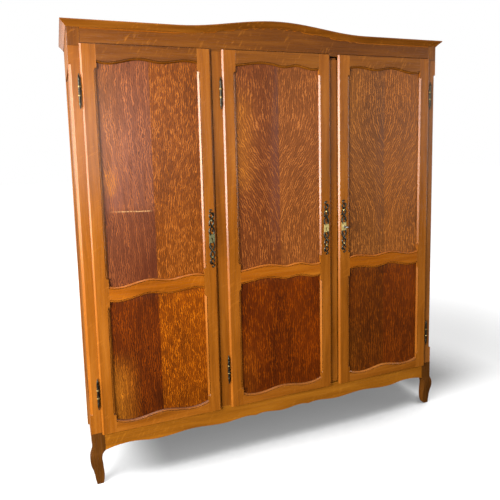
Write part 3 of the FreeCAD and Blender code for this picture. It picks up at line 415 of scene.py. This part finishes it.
def only(piece):
    # leaves one object selected and active
    deselect()
    piece.select_set(True)
    bpy.context.view_layer.objects.active = piece


def editAll(piece):
    only(piece)
    bpy.ops.object.mode_set(mode="EDIT")
    bpy.ops.mesh.select_all(action="SELECT")


def editDone():
    bpy.ops.object.mode_set(mode="OBJECT")


def applied(piece, kind, **settings):
    only(piece)
    modifier = piece.modifiers.new(kind.title(), kind)
    for key, value in settings.items():
        setattr(modifier, key, value)
    bpy.ops.object.modifier_apply(modifier=modifier.name)


def combined(piece, other, operation="DIFFERENCE"):
    # cuts the other solid away or adds it, and the other one is gone
    applied(piece, "BOOLEAN", operation=operation, object=other, solver="EXACT")
    bpy.data.objects.remove(other)


def smooth(piece, degrees=meshLimits["boardAngle"]):
    # rounds look round, and the flat faces beside them stay flat
    only(piece)
    bpy.ops.object.shade_smooth_by_angle(angle=math.radians(degrees))
    applied(piece, "WEIGHTED_NORMAL", keep_sharp=True, weight=90)


def paint(piece, material):
    piece.data.materials.clear()
    piece.data.materials.append(material)


def boardCopy(node, name):
    # a copy of a CAD piece, merged, with its flat faces joined
    piece = newObject(name, nodes[node].data.copy())
    editAll(piece)
    bpy.ops.mesh.remove_doubles(threshold=meshLimits["weld"])
    bpy.ops.mesh.dissolve_limited(angle_limit=math.radians(meshLimits["flatAngle"]))
    editDone()
    return piece


def planed(piece, place, facing):
    # takes off what lies beyond a plane
    editAll(piece)
    bpy.ops.mesh.bisect(plane_co=place, plane_no=facing, use_fill=True, clear_outer=True)
    editDone()


def eased(piece, edge):
    if not edge:
        return
    applied(piece, "BEVEL", width=edge, segments=2, limit_method="ANGLE",
            angle_limit=math.radians(meshLimits["bevelAngle"]))
    editAll(piece)
    bpy.ops.mesh.remove_doubles(threshold=meshLimits["sliver"])  # no slivers are left for the later cuts
    bpy.ops.mesh.dissolve_degenerate(threshold=meshLimits["point"])
    bpy.ops.mesh.normals_make_consistent(inside=False)
    editDone()


def added(piece, body, material):
    # the piece is the scene's own and moves with a body
    paint(piece, material)
    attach(piece, body)


def fitted(piece, node, material):
    # the piece stands for a CAD piece and moves with its body
    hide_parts(node)
    added(piece, bodyOf[node], material)


dressedPieces = []


def dressed(node, name, edge, material, lips=(), fills=(), slopes=()):
    piece = boardCopy(node, name)
    for low, high in fills:  # wood closes over a mortise
        combined(piece, block("filler", low, high, edge=0.0001), "UNION")
    for place, facing in lips:
        planed(piece, place, facing)
    for cut in slopes:
        cutSlope(piece, *cut)
    eased(piece, edge)
    fitted(piece, node, material)
    dressedPieces.append(piece)


def turned(name, profile, sides=20):
    # as on a lathe: a disc drawn along Z step by step, the profile gives each height and radius
    deselect()
    height, radius = profile[0]
    bpy.ops.mesh.primitive_circle_add(vertices=sides, radius=radius, fill_type="NGON",
                                      location=(0, 0, height))
    piece = bpy.context.active_object
    piece.name = name
    bpy.ops.object.mode_set(mode="EDIT")
    bpy.ops.mesh.select_all(action="SELECT")
    for (low, first), (high, second) in zip(profile, profile[1:]):
        bpy.ops.mesh.extrude_region_move(TRANSFORM_OT_translate={"value": (0, 0, high - low)})
        share = second / first
        bpy.ops.transform.resize(value=(share, share, 1), center_override=(0, 0, high))
    bpy.ops.mesh.select_all(action="SELECT")
    bpy.ops.mesh.normals_make_consistent(inside=False)
    editDone()
    bpy.ops.object.transform_apply()
    return piece


def laid(piece, degrees, place=(0, 0, 0)):
    # turns a lathe's piece about X and moves it to its place
    editAll(piece)
    bpy.ops.transform.rotate(value=math.radians(degrees), orient_axis="X", center_override=(0, 0, 0))
    bpy.ops.transform.translate(value=place)
    editDone()
    return piece


def block(name, low, high, edge):
    # a bar between two corners with eased edges
    deselect()
    bpy.ops.mesh.primitive_cube_add(size=1, location=[(a + b) / 2 for a, b in zip(low, high)])
    piece = bpy.context.active_object
    piece.name = name
    piece.scale = [b - a for a, b in zip(low, high)]
    bpy.ops.object.transform_apply()
    applied(piece, "BEVEL", width=edge, segments=2, limit_method="ANGLE")
    return piece


def tube(name, path, radius, kind="POLY", roundness=1):
    # a round bar along points of x, y, z and a share of the radius
    run = bpy.data.curves.new(name, "CURVE")
    run.dimensions = "3D"
    run.bevel_depth = radius
    run.bevel_resolution = roundness
    run.use_fill_caps = True
    spline = run.splines.new(kind)
    spline.points.add(len(path) - 1)
    for point, (x, y, z, share) in zip(spline.points, path):
        point.co = (x, y, z, 1)
        point.radius = share
    if kind == "NURBS":
        spline.order_u = 3
        spline.use_endpoint_u = True
        spline.resolution_u = 4
    only(newObject(name, run))
    bpy.ops.object.convert(target="MESH")
    bar = bpy.context.active_object
    editAll(bar)
    bpy.ops.mesh.remove_doubles(threshold=meshLimits["cap"])  # the caps join the wall
    bpy.ops.mesh.normals_make_consistent(inside=False)
    editDone()
    return bar


def joined(name, parts):
    only(parts[0])
    for part in parts[1:]:
        part.select_set(True)
    bpy.ops.object.join()
    whole = bpy.context.active_object
    whole.name = name
    return whole


def copied(piece, name, place):
    # its own mesh, moved to its place
    twin = newObject(name, piece.data.copy())
    twin.location = place
    only(twin)
    bpy.ops.object.transform_apply()
    return twin


def finished(piece, node, finish, replacing):
    # a metal piece in place of a CAD piece, or a brass one beside it
    smooth(piece, meshLimits["metalAngle"])
    if replacing:
        fitted(piece, node, metals[finish])
    else:
        added(piece, bodyOf[node], metals[finish])


# pin hinges: knuckles turned above and below the split, with a brass collar, a bead and a finial
hingeLook = {
    "knuckle": ((0.0002, 0.0048), (0.0008, 0.0056), (0.0024, 0.0056), (0.0030, 0.0047), (0.0058, 0.0046),
                (0.0064, 0.0053), (0.0080, 0.0053), (0.0086, 0.0046), (0.0114, 0.0046), (0.0120, 0.0053),
                (0.0136, 0.0053), (0.0142, 0.0046), (0.0226, 0.0046), (0.0232, 0.0053), (0.0248, 0.0053),
                (0.0254, 0.0046), (0.0300, 0.0045), (0.0306, 0.0052), (0.0322, 0.0052), (0.0328, 0.0045),
                (0.0385, 0.0044), (0.0391, 0.0052), (0.0400, 0.0056), (0.0414, 0.0056),
                (0.0423, 0.0052), (0.0429, 0.0043), (0.0450, 0.0045), (0.0490, 0.0050), (0.0530, 0.0049),
                (0.0580, 0.0040), (0.0630, 0.0027), (0.0660, 0.0019), (0.0672, 0.0022), (0.0684, 0.0026),
                (0.0698, 0.0024), (0.0707, 0.0014), (0.0710, 0.0004)),
    "collar": ((0.0148, 0.0044), (0.0150, 0.0054), (0.0158, 0.0061), (0.0172, 0.0063), (0.0190, 0.0063),
               (0.0204, 0.0061), (0.0212, 0.0054), (0.0214, 0.0044)),
    "bore": 0.0029, "boreStart": 0.001, "boreDepth": 0.0388,
    "pin": 0.0028, "pinRoot": 0.002, "pinLength": 0.036, "pinTip": 0.001, "pinTaper": 0.7,
    "leafThickness": 0.0025, "leafDepth": 0.022, "leafHeight": 0.034, "leafBack": 0.0071, "leafEdge": 0.0003,
    "proud": 0.0073, "offset": 0.008, "mortiseDepth": 0.024, "mortiseSide": 0.0002, "mortiseTop": 0.001,
    "mortiseFoot": 0.0005, "depth": -0.27005, "levels": (1.719, 0.419),
    "axis": {"left_door": -0.881, "centre_door": -0.2795, "right_door": 0.881},
}

doorSides = ("left", "centre", "right")
# quirks beside the mouldings, turning in at both stops by shares of the round and of the turn
groove = {"radius": 0.0020, "sink": 0.0007, "round": 0.0097, "stop": 0.030, "turn": 0.008, "past": 0.002,
          "lead": ((0.0, 0.4), (0.6, 0.2)), "near": 0.00005}
slope = {"leg": 0.0072, "cutter": 0.030, "over": 0.0007}  # planed lips and sloped mouldings of the stiles
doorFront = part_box("left_door_top_rail")[0].y
panelSpans = ((0.284, 0.830), (0.900, 1.840))  # bottom and top of the lower and the upper panel's opening


def wavePath(node, upper):
    # where the rounded wave of a rail meets its face, read from the rail itself
    low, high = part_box(node)
    middle = (low.z + high.z) / 2
    found = {}
    for vertex in nodes[node].data.vertices:
        x, y, z = vertex.co
        if abs(y - doorFront) < groove["near"] and (z > middle) == upper:
            found[round(x, 4)] = z
    return [(x, found[x]) for x in sorted(found)]


def stilePath(edge, inward, low, high):
    # beside the moulding of a stile, turning in at both stops
    line, turn = edge + inward * groove["round"], groove["turn"]
    bottom, top = low + groove["stop"], high - groove["stop"]
    start = [(edge + inward * groove["round"] * across, bottom - turn * down)
             for across, down in groove["lead"]]
    return start + [(line, bottom + turn), (line, top - turn)] + \
        [(x, bottom + top - z) for x, z in reversed(start)]


def cutGroove(piece, path):
    # a round-bottomed quirk along a path on the door's face
    points = [(x, doorFront + groove["sink"], z, 1) for x, z in path]
    combined(piece, tube("quirk", points, groove["radius"]))


def cutGap(piece, low, high):
    # a square-edged gap between two corners
    combined(piece, block("gap", low, high, edge=0.0002))


def leftStile(node):
    # whether a stile stands to the left of its door's panels
    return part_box(node)[0].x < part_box(node.rsplit("_", 2)[0] + "_mid_rail")[0].x


def lipsOf(node):
    # the outer side of a door's stile, planed to a slope from its face to its lip
    low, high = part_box(node)
    edge, facing = (low.x, -1) if leftStile(node) else (high.x, 1)
    return [((edge, doorFront + slope["leg"], 0), (facing, -1, 0))]


def panelSide(node):
    # the side of a stile beside the panels, and the way from it into the wood
    low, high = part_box(node)
    return (high.x, -1) if leftStile(node) else (low.x, 1)


def mortisesOf(node):
    # the slots of the two hinge leaves in the door's edge
    low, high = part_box(node)
    middle, deep = hingeLook["depth"], hingeLook["mortiseDepth"]
    thick = hingeLook["leafThickness"] / 2 + hingeLook["mortiseSide"]
    tall, foot = hingeLook["leafHeight"] + hingeLook["mortiseTop"], hingeLook["mortiseFoot"]
    left, right = (high.x - deep, high.x) if node.startswith("right") else (low.x, low.x + deep)
    return [((left, middle - thick, level - foot), (right, middle + thick, level + tall))
            for level in hingeLook["levels"]]


def cutSlope(piece, edge, inward, low, high):
    # planes the moulding of a stile to a slope between its stops
    leg, side = slope["leg"], slope["cutter"]
    reach = (side / 2) / math.sqrt(2)
    place = (edge + inward * (leg / 2 - reach), doorFront + leg / 2 - reach, (low + high) / 2)
    deselect()
    bpy.ops.mesh.primitive_cube_add(size=1, location=place, rotation=(0, 0, math.radians(45)))
    cutter = bpy.context.active_object
    cutter.scale = (side, side, high - low - 2 * groove["stop"] + 2 * slope["over"])
    bpy.ops.object.transform_apply()
    combined(piece, cutter)


# grain direction, tone and eased edge of each board
# top, crown, shaded and flankShaded oak are painted shade, pale oak on the right post is painted light
boards = {
    "base_apron": ("x", "golden", 0.0012),
    "front_left_foot": ("z", "shaded", 0.004), "front_right_foot": ("z", "shaded", 0.004),
    "front_left_post": ("z", "frame", 0.0012), "front_right_post": ("z", "pale", 0.0012),
    "mullion": ("z", "frame", 0.0008), "frieze_rail": ("x", "top", 0.001),
    "frieze_corner_blocks": ("z", "top", 0.0018), "cornice_front": ("x", "crown", 0.0012),
    "cornice_left": ("y", "frame", 0.0012), "cornice_right": ("y", "frame", 0.0012),
    "side_rails": ("y", "flankShaded", 0.001), "side_panels": ("z", "flankShaded", 0.001),
    "base_rails": ("xy", "flankShaded", 0.001), "back_feet": ("z", "flankShaded", 0.002),
    "floor_board": ("x", "inside", 0.001), "back_posts": ("z", "flankShaded", 0.001),
    "partition": ("z", "inside", 0.001), "back_boards": ("z", "inside", 0.001),
    "frieze_rear_rails": ("xy", "flankShaded", 0), "top_board": ("x", "inside", 0.001),
    "left_shelves": ("x", "inside", 0.001), "hat_shelf": ("x", "inside", 0.001),
    "shelf_cleats": ("y", "inside", 0.001), "false_mullion": ("z", "frame", 0.001),
}
doorBoards = {"hinge_stile": ("z", "frame", 0.0008), "lock_stile": ("z", "frame", 0.0008),
              "top_rail": ("x", "crown", 0.0008), "mid_rail": ("x", "warm", 0.0008),
              "bottom_rail": ("x", "frame", 0.0008)}
for side in doorSides:
    for part, look in doorBoards.items():
        boards[f"{side}_door_{part}"] = look
# its darker tone is painted shade towards the top
boards["left_door_top_rail"] = ("x", "top", 0.0008)  # the one darker top rail
for index, (node, (along, tone, edge)) in enumerate(boards.items()):
    slot = "oak_inside" if tone == "inside" else "oak_frame"
    stile = node.endswith("_stile")
    lips = lipsOf(node) if stile else ()
    fills = mortisesOf(node) if node.endswith("hinge_stile") else ()
    slopes = [(*panelSide(node), *span) for span in panelSpans] if stile else ()
    seed, darkened = 1 + index * oakGrain["seedStep"], mouldLook["shares"].get(node, 0.0)
    wood = oak(node + "Oak", along, tone, seed, darkened)
    dressed(node, node + "_board", edge, wood, lips, fills, slopes)
for side in doorSides:
    for part, upper in (("top_rail", False), ("mid_rail", False), ("mid_rail", True), ("bottom_rail", True)):
        node = f"{side}_door_{part}"
        path = wavePath(node, upper)
        (firstX, firstZ), (lastX, lastZ) = path[0], path[-1]
        path = [(firstX - groove["past"], firstZ), *path, (lastX + groove["past"], lastZ)]
        cutGroove(bpy.data.objects[node + "_board"], path)
    for part in ("hinge_stile", "lock_stile"):
        node = f"{side}_door_{part}"
        for span in panelSpans:
            cutGroove(bpy.data.objects[node + "_board"], stilePath(*panelSide(node), *span))
# what shows of the frame's rebate round a door, past the rail over its stiles
gap = {"wide": 0.0048, "deep": 0.006, "lap": 0.001, "past": 0.062, "besideMullion": 1.3}
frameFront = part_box("mullion")[0].y
for side in doorSides:
    low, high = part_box(f"{side}_door_top_rail")
    cutGap(bpy.data.objects["frieze_rail_board"],
           (low.x - gap["past"], frameFront - gap["lap"], high.z - gap["lap"]),
           (high.x + gap["past"], frameFront + gap["deep"], high.z + gap["wide"]))
low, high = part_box("left_door_lock_stile")
cutGap(bpy.data.objects["mullion_board"], (high.x - gap["lap"], frameFront - gap["lap"], low.z),
       (high.x + gap["wide"] * gap["besideMullion"], frameFront + gap["deep"], high.z - gap["lap"]))
socket = {"clear": 0.0003, "deep": 0.016, "thick": 0.006}  # the bolt's slot in the apron, square
low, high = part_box("bottom_flush_bolt")
cutGap(bpy.data.objects["base_apron_board"],
       (low.x - socket["clear"], low.y - socket["clear"], low.z - socket["deep"]),
       (high.x + socket["clear"], low.y + socket["thick"] + socket["clear"], low.z))
print("quirks, gaps and the bolt's slot cut")

# a bead where the frieze meets the cornice; its lighter oak is partly a painted highlight
beadLook = {"radius": 0.0024, "proud": 0.0006, "drop": 0.0020, "near": 0.0001}
friezeLow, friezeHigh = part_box("frieze_rail")
under = {}
for vertex in nodes["cornice_front"].data.vertices:
    x, y, z = vertex.co
    if abs(y - frameFront) < beadLook["near"] and friezeLow.x <= x <= friezeHigh.x:
        under[round(x, 4)] = min(z, under.get(round(x, 4), z))
levels = [under[x] for x in sorted(under)]
path = [(friezeLow.x, levels[0]), *sorted(under.items()), (friezeHigh.x, levels[-1])]
bead = tube("frieze_bead", [(x, frameFront - beadLook["proud"], z - beadLook["drop"], 1) for x, z in path],
            beadLook["radius"], "POLY", 2)
smooth(bead)
added(bead, "carcase", oak("friezeBeadOak", "x", "warm", seed=41.3))

# a bead fills the gap of the centre and the right door
meeting = {"inset": 0.0012, "front": 0.0006, "topGap": 0.022, "edge": 0.0025, "lap": 0.001}
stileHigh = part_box("centre_door_lock_stile")[1]
low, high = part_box("false_mullion")
bead = block("centre_door_meeting_bead",
             (stileHigh.x + meeting["inset"], frameFront + meeting["front"], low.z),
             (high.x, low.y + meeting["lap"], stileHigh.z - meeting["topGap"]), meeting["edge"])
smooth(bead)
added(bead, "centre_door", oak("meetingBeadOak", "z", "frame", seed=31.7))

# tongues between the back boards shut out the light
tongue = {"half": 0.004, "thick": 0.003, "boards": 8, "short": 0.001, "edge": 0.0003}
low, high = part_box("back_boards")
pitch, middle = (high.x - low.x) / tongue["boards"], (low.y + high.y) / 2
strips = []
for index in range(1, tongue["boards"]):
    seam = low.x + pitch * index
    strips.append(block("tongue",
                        (seam - tongue["half"], middle - tongue["thick"] / 2, low.z + tongue["short"]),
                        (seam + tongue["half"], middle + tongue["thick"] / 2, high.z - tongue["short"]),
                        tongue["edge"]))
strip = joined("back_board_tongues", strips)
smooth(strip)
added(strip, "carcase", oak("backTongueOak", "z", "inside", seed=53.9))
for side, look in panelLooks.items():
    node = f"{side}_door_panels"
    dressed(node, node + "_board", panelGrain["edge"], panelOak(node + "Oak", look))
print("boards dressed:", len(boards) + len(panelLooks))


def hingeHalf(name, lower, side):
    # the frame's half lies below the split and holds the pin, the door's half is bored for it
    turn = -1 if lower else 1
    knuckle = turned(name, [(turn * height, radius) for height, radius in hingeLook["knuckle"]])
    split, thick, tall = hingeLook["knuckle"][0][0], hingeLook["leafThickness"] / 2, hingeLook["leafHeight"]
    if lower:
        radius, length = hingeLook["pin"], hingeLook["pinLength"]
        pin = turned(name, [(-hingeLook["pinRoot"], radius), (length - hingeLook["pinTip"], radius),
                            (length, radius * hingeLook["pinTaper"])], sides=12)
        reach = hingeLook["proud"] + hingeLook["leafDepth"]
        leaf = block(name, (-thick, 0, -split - tall), (thick, reach, -split), hingeLook["leafEdge"])
        return joined(name, [knuckle, pin, leaf])
    radius = hingeLook["bore"]
    bore = turned(name, [(-hingeLook["boreStart"], radius), (hingeLook["boreDepth"], radius)], sides=12)
    combined(knuckle, bore)
    reach = hingeLook["offset"] + hingeLook["leafDepth"]
    low, high = sorted((side * -radius, side * reach))  # wraps the back of the knuckle, clear of the pin
    back = hingeLook["leafBack"]
    leaf = block(name, (low, back - 2 * thick, split), (high, back, split + tall), hingeLook["leafEdge"])
    return joined(name, [knuckle, leaf])


def hingeSet(name, model, spots, node, finish, replacing):
    finished(joined(name, [copied(model, "half", place) for place in spots]), node, finish, replacing)


lowerHalf = hingeHalf("lowerHalf", True, 1)
upperHalves = {side: hingeHalf("upperHalf", False, side) for side in (1, -1)}
collars = {}
for turn in (1, -1):
    collars[turn] = turned("collar", [(turn * height, radius) for height, radius in hingeLook["collar"]])
places = {door: [(x, hingeLook["depth"], z) for z in hingeLook["levels"]]
          for door, x in hingeLook["axis"].items()}
every = [place for spots in places.values() for place in spots]
hingeSet("frame_hinge_halves_iron", lowerHalf, every, "frame_hinge_halves", "bronze", True)
hingeSet("frame_hinge_collars", collars[-1], every, "frame_hinge_halves", "oldBrass", False)
for door, spots in places.items():
    upper = upperHalves[-1 if door == "right_door" else 1]
    node = door + "_hinge_halves"
    hingeSet(node + "_iron", upper, spots, node, "bronze", True)
    hingeSet(door + "_hinge_collars", collars[1], spots, node, "oldBrass", False)
for model in (lowerHalf, *upperHalves.values(), *collars.values()):
    bpy.data.objects.remove(model)
print("hinges turned:", len(every))

# openwork escutcheons: two vines wound above and below a brass plate, in metres from the keyhole
vineLook = {
    "stem": ((0.006, 0.016, 1.0), (0.0115, 0.027, 1.0), (0.0115, 0.040, 1.05), (0.004, 0.053, 1.0),
             (-0.006, 0.063, 1.0), (-0.0105, 0.075, 1.0), (-0.006, 0.087, 0.95), (0.004, 0.094, 0.95)),
    "firstEnd": ((0.0095, 0.103, 0.9), (0.006, 0.113, 0.9), (-0.003, 0.119, 0.85), (-0.0085, 0.127, 0.8),
                 (-0.004, 0.1345, 0.75), (0.003, 0.1335, 0.7), (0.002, 0.128, 0.6)),
    "secondEnd": ((-0.0095, 0.103, 0.85), (-0.0095, 0.111, 0.75), (-0.0050, 0.1125, 0.65)),
    "tendrils": (((0.0105, 0.034, 0.7), (0.004, 0.032, 0.6), (0.000, 0.037, 0.55), (0.003, 0.042, 0.5)),
                 ((-0.0095, 0.070, 0.7), (-0.013, 0.064, 0.6), (-0.0135, 0.058, 0.5)),
                 ((0.0095, 0.103, 0.7), (0.0125, 0.110, 0.6), (0.0105, 0.117, 0.55), (0.006, 0.121, 0.5))),
    "radius": 0.0038, "weave": 0.0010, "proud": 0.0002, "keyholeShade": (0.0065, 0.0006, 0.0075),
    "plate": (0.027, 0.0030, 0.040), "plateEdge": 0.0008, "hole": 0.0036, "slot": 0.0046, "drop": 0.0135,
    "cut": 0.01, "pinPlaces": ((0, 0.0165), (0, -0.0175)), "pinRadius": 0.0014,
    "pinProfile": ((0, 1), (0.0006, 0.9), (0.0011, 0.4)),
    "bossLevels": (0.084, -0.087), "bossRadius": 0.0052,
    "bossProfile": ((0, 1), (0.0022, 0.95), (0.0040, 0.72), (0.0050, 0.30)),
    "keys": {"left": -0.344, "centre": 0.2505, "right": 0.351}, "level": 1.063,
}


def vineModel():
    radius, proud = vineLook["radius"], vineLook["proud"]
    mirrored = [(-x, z, share) for x, z, share in vineLook["stem"]]
    first, second = (*vineLook["stem"], *vineLook["firstEnd"]), (*mirrored, *vineLook["secondEnd"])
    strands = []
    for end in (1, -1):
        for points, lift in ((first, 1), (second, -1)):
            path = []
            for index, (x, z, share) in enumerate(points):
                weave = lift * vineLook["weave"] * math.cos(index * math.pi / 3)  # over and under by turns
                path.append((end * x, weave - proud, end * z, share))
            strands.append(tube("strand", path, radius, "NURBS", 2))
        for points in vineLook["tendrils"]:
            path = [(end * x, -proud, end * z, share) for x, z, share in points]
            strands.append(tube("tendril", path, radius, "NURBS", 2))
    for strand in strands:
        planed(strand, (0, 0, 0), (0, 1, 0))  # a flat back against the door
    wide, thick, high = vineLook["keyholeShade"]  # a dark plate behind the keyhole, painted shade in the hole
    keyholeShade = block("keyholeShade", (-wide, -thick, -high * 2), (wide, 0, high), edge=0.0001)
    return joined("vine", [*strands, keyholeShade])


def headOf(name, sides, place):
    # a round head that stands out from the door, its profile in heights and shares of its radius
    radius = vineLook[name + "Radius"]
    profile = [(height, radius * share) for height, share in vineLook[name + "Profile"]]
    return laid(turned(name, profile, sides), -90, place)


def plateModel():
    wide, thick, tall = vineLook["plate"]
    cut, half = vineLook["cut"], vineLook["slot"] / 2
    plate = block("plate", (-wide / 2, -thick, -tall / 2), (wide / 2, 0, tall / 2), vineLook["plateEdge"])
    hole = laid(turned("hole", [(-cut, vineLook["hole"]), (cut, vineLook["hole"])], sides=24), 90)
    slot = block("slot", (-half, -cut, -vineLook["drop"]), (half, cut, 0), edge=0.0004)
    for cutter in (hole, slot):
        combined(plate, cutter)
    heads = [headOf("pin", 12, (x, -thick, z)) for x, z in vineLook["pinPlaces"]]
    heads += [headOf("boss", 14, (0, 0, level)) for level in vineLook["bossLevels"]]  # gilt flowers
    return joined("plate", [plate, *heads])


vine, plate = vineModel(), plateModel()
for side, x in vineLook["keys"].items():
    place = (x, doorFront, vineLook["level"])
    node = side + "_escutcheon"
    finished(copied(vine, node + "_vine", place), node, "bronze", True)
    finished(copied(plate, node + "_plate", place), node, "patina" if side == "left" else "brass", False)
for model in (vine, plate):
    bpy.data.objects.remove(model)
print("escutcheons wound:", len(vineLook["keys"]))

# the key stands in the right door's lock with its bow level
keyLook = {"bowRadius": 0.011, "wire": 0.0022, "bowDepth": -0.30405, "sunk": 0.0005, "tip": -0.24075,
           "shank": ((0.0, 0.0026), (0.0015, 0.0034), (0.0045, 0.0040), (0.0060, 0.0034), (0.0080, 0.0030),
                     (0.0125, 0.0030), (0.0133, 0.0046), (0.0140, 0.0050), (0.0150, 0.0050), (0.0155, 0.0046),
                     (0.0160, 0.0030), (0.0520, 0.0030), (0.0528, 0.0024)),
           "bit": (0.012, 0.006, 0.0025)}


def keyModel():
    x, z, tip = vineLook["keys"]["right"], vineLook["level"], keyLook["tip"]
    deselect()
    bpy.ops.mesh.primitive_torus_add(major_radius=keyLook["bowRadius"], minor_radius=keyLook["wire"],
                                     major_segments=40, minor_segments=12,
                                     location=(x, keyLook["bowDepth"], z))
    bow = bpy.context.active_object
    bpy.ops.object.transform_apply()
    root = keyLook["bowDepth"] + keyLook["bowRadius"] - keyLook["sunk"]
    shank = laid(turned("shank", keyLook["shank"], sides=18), 90, (x, root, z))
    long, deep, thick = keyLook["bit"]
    bit = block("bit", (x, tip - deep, z - thick / 2), (x + long, tip, z + thick / 2), edge=0.0003)
    return joined("key_turned", [bow, shank, bit])


finished(keyModel(), "key", "steel", True)
ironwork = ("left_lock_case", "right_lock_case", "right_lock_bolt", "left_lock_bolt", "top_flush_bolt",
            "bottom_flush_bolt", "flush_bolt_guides", "clothes_rail", "clothes_rail_sockets")
ironEdge = 0.0004
for node in ironwork:
    dressed(node, node + "_iron", ironEdge, metals["steel"])
for piece in dressedPieces:
    smooth(piece)
print("locks, bolts and rail dressed:", len(ironwork))

stageLook = {"floorSide": 40.0, "lit": 0.42, "white": 0.60, "glossGrey": 0.02, "reach": 0.75, "samples": 24,
             "core": 0.30, "shade": (0.44, 0.64), "leftEdge": (-0.87, -0.55), "sideShade": (0.72, 1.09),
             "sideEdge": (0.75, 1.0), "sideDepth": (-0.32, 0.0), "clearing": (1.8, 3.6)}


def floorMaterial():
    # the camera sees a white floor with the wardrobe's shade on it, all else a plain dark grey one
    made, start = newMaterial("paleFloor")
    rays = start.node("LightPath", None, None, "Is Camera Ray")
    place = start.node("TexCoord", None, None, "Object")
    wide, deep = placeOf(start, "XY")
    far = start.node("VectorMath", {"operation": "LENGTH"}, {0: place}, "Value").step(*stageLook["clearing"])
    samples, reach = stageLook["samples"], stageLook["reach"]
    near = start.node("AmbientOcclusion", {"samples": samples}, {"Distance": reach}, "AO")
    under = (1 - near.step(*stageLook["shade"])) * wide.step(*stageLook["leftEdge"])
    beside = (1 - near.step(*stageLook["sideShade"])) * wide.step(*stageLook["sideEdge"])
    shade = under.sum("MAXIMUM", beside * deep.step(*stageLook["sideDepth"]))
    white, grey = (start.mixed(shade, (level,) * 3, (level * stageLook["core"],) * 3)
                   for level in (stageLook["white"], stageLook["lit"]))
    lit = start.node("BsdfDiffuse", None, {"Color": grey})
    glow = start.node("Emission", None, {"Color": start.mixed(far, white, (1, 1, 1))})
    seen = start.node("AddShader", None, {0: lit, 1: glow})
    plain = start.node("BsdfDiffuse", None, {"Color": (stageLook["glossGrey"],) * 3})
    surface = start.node("MixShader", None, {0: rays, 1: plain, 2: seen})
    start.node("OutputMaterial", None, {"Surface": surface})
    return made


deselect()
bpy.ops.mesh.primitive_plane_add(size=stageLook["floorSide"], location=(0, 0, 0))
floor = bpy.context.active_object
floor.name = "floor"
paint(floor, floorMaterial())

# gloss sees white walls with a dimmer ceiling, little on the far right and a pale patch straight above
worldLook = {"fill": 0.12, "seen": 1.0, "ceiling": 0.25, "ceilingSteps": (0.0, 0.25), "rightWall": 0.15,
             "rightSteps": (0.62, 0.9), "overhead": 1.2, "overheadSteps": (0.6, 0.85)}
world = bpy.data.worlds.new("studio")
bpy.context.scene.world = world
world.use_nodes = True
world.node_tree.nodes.clear()
sky = Wire(world.node_tree)
eye, clear, gloss = (sky.node("LightPath", None, None, f"Is {kind} Ray")
                     for kind in ("Camera", "Transmission", "Glossy"))
eye = eye + clear
aim = sky.node("TexCoord", None, None, "Generated")
sideways, height = (sky.node("SeparateXYZ", None, {"Vector": aim}, letter) for letter in "XZ")
mirrored = 1 - height.step(*worldLook["ceilingSteps"]) * (1 - worldLook["ceiling"])
mirrored = mirrored * (1 - sideways.step(*worldLook["rightSteps"]) * (1 - worldLook["rightWall"]))
mirrored = mirrored + height.step(*worldLook["overheadSteps"]) * worldLook["overhead"]
strength = eye * worldLook["seen"] + (1 - eye) * (gloss * mirrored + (1 - gloss) * worldLook["fill"])
studio = sky.node("Background", None, {"Color": (1, 1, 1), "Strength": strength})
sky.node("OutputWorld", None, {"Surface": studio})

lampLooks = {
    "leftWall": {"place": (-3.5, -2.0, 1.5), "aim": (0.0, -0.6, 1.15), "size": (2.8, 2.2), "power": 440.0},
    "leftBack": {"place": (-3.9, -0.35, 1.7), "aim": (0.0, -0.4, 1.3), "size": (0.7, 2.2), "power": 32.0},
    "window": {"place": (-0.9, -4.6, 1.6), "aim": (-0.6, 0.0, 1.4), "size": (1.6, 1.2), "power": 26.0},
    "rightFill": {"place": (4.3, -1.7, 1.5), "aim": (0.5, -0.3, 1.1), "size": (2.0, 2.0), "power": 85.0},
    "overhead": {"place": (-1.2, -1.0, 5.0), "aim": (-0.2, -0.3, 0.0), "size": (2.5, 2.5), "power": 70.0},
    "behind": {"place": (0.7, 4.5, 2.3), "aim": (0.0, 0.3, 1.0), "size": (1.6, 2.0), "power": 140.0},
}
for name, look in lampLooks.items():
    lamp = bpy.data.lights.new(name, "AREA")
    lamp.shape = "RECTANGLE"
    lamp.size, lamp.size_y = look["size"]
    lamp.energy = look["power"]
    holder = newObject(name, lamp)
    holder.location = look["place"]
    holder.rotation_euler = (Vector(look["aim"]) - holder.location).to_track_quat("-Z", "Y").to_euler()

cameraLook = {"place": (-0.98247, -2.46904, 1.49347), "turn": (83.3307, 1.3357, -20.9597),
              "focalPixels": 504.82, "imageSide": 500.0, "sensor": 36.0, "shift": (-0.002, -0.096)}
lens = bpy.data.cameras.new("photoCamera")
lens.sensor_width = cameraLook["sensor"]
lens.lens = cameraLook["focalPixels"] / cameraLook["imageSide"] * cameraLook["sensor"]
lens.shift_x, lens.shift_y = cameraLook["shift"]
camera = newObject("photoCamera", lens)
camera.location = cameraLook["place"]
camera.rotation_euler = [math.radians(angle) for angle in cameraLook["turn"]]
bpy.context.scene.camera = camera
bpy.context.scene.view_settings.view_transform = "Standard"
print("stage, lamps and camera set")
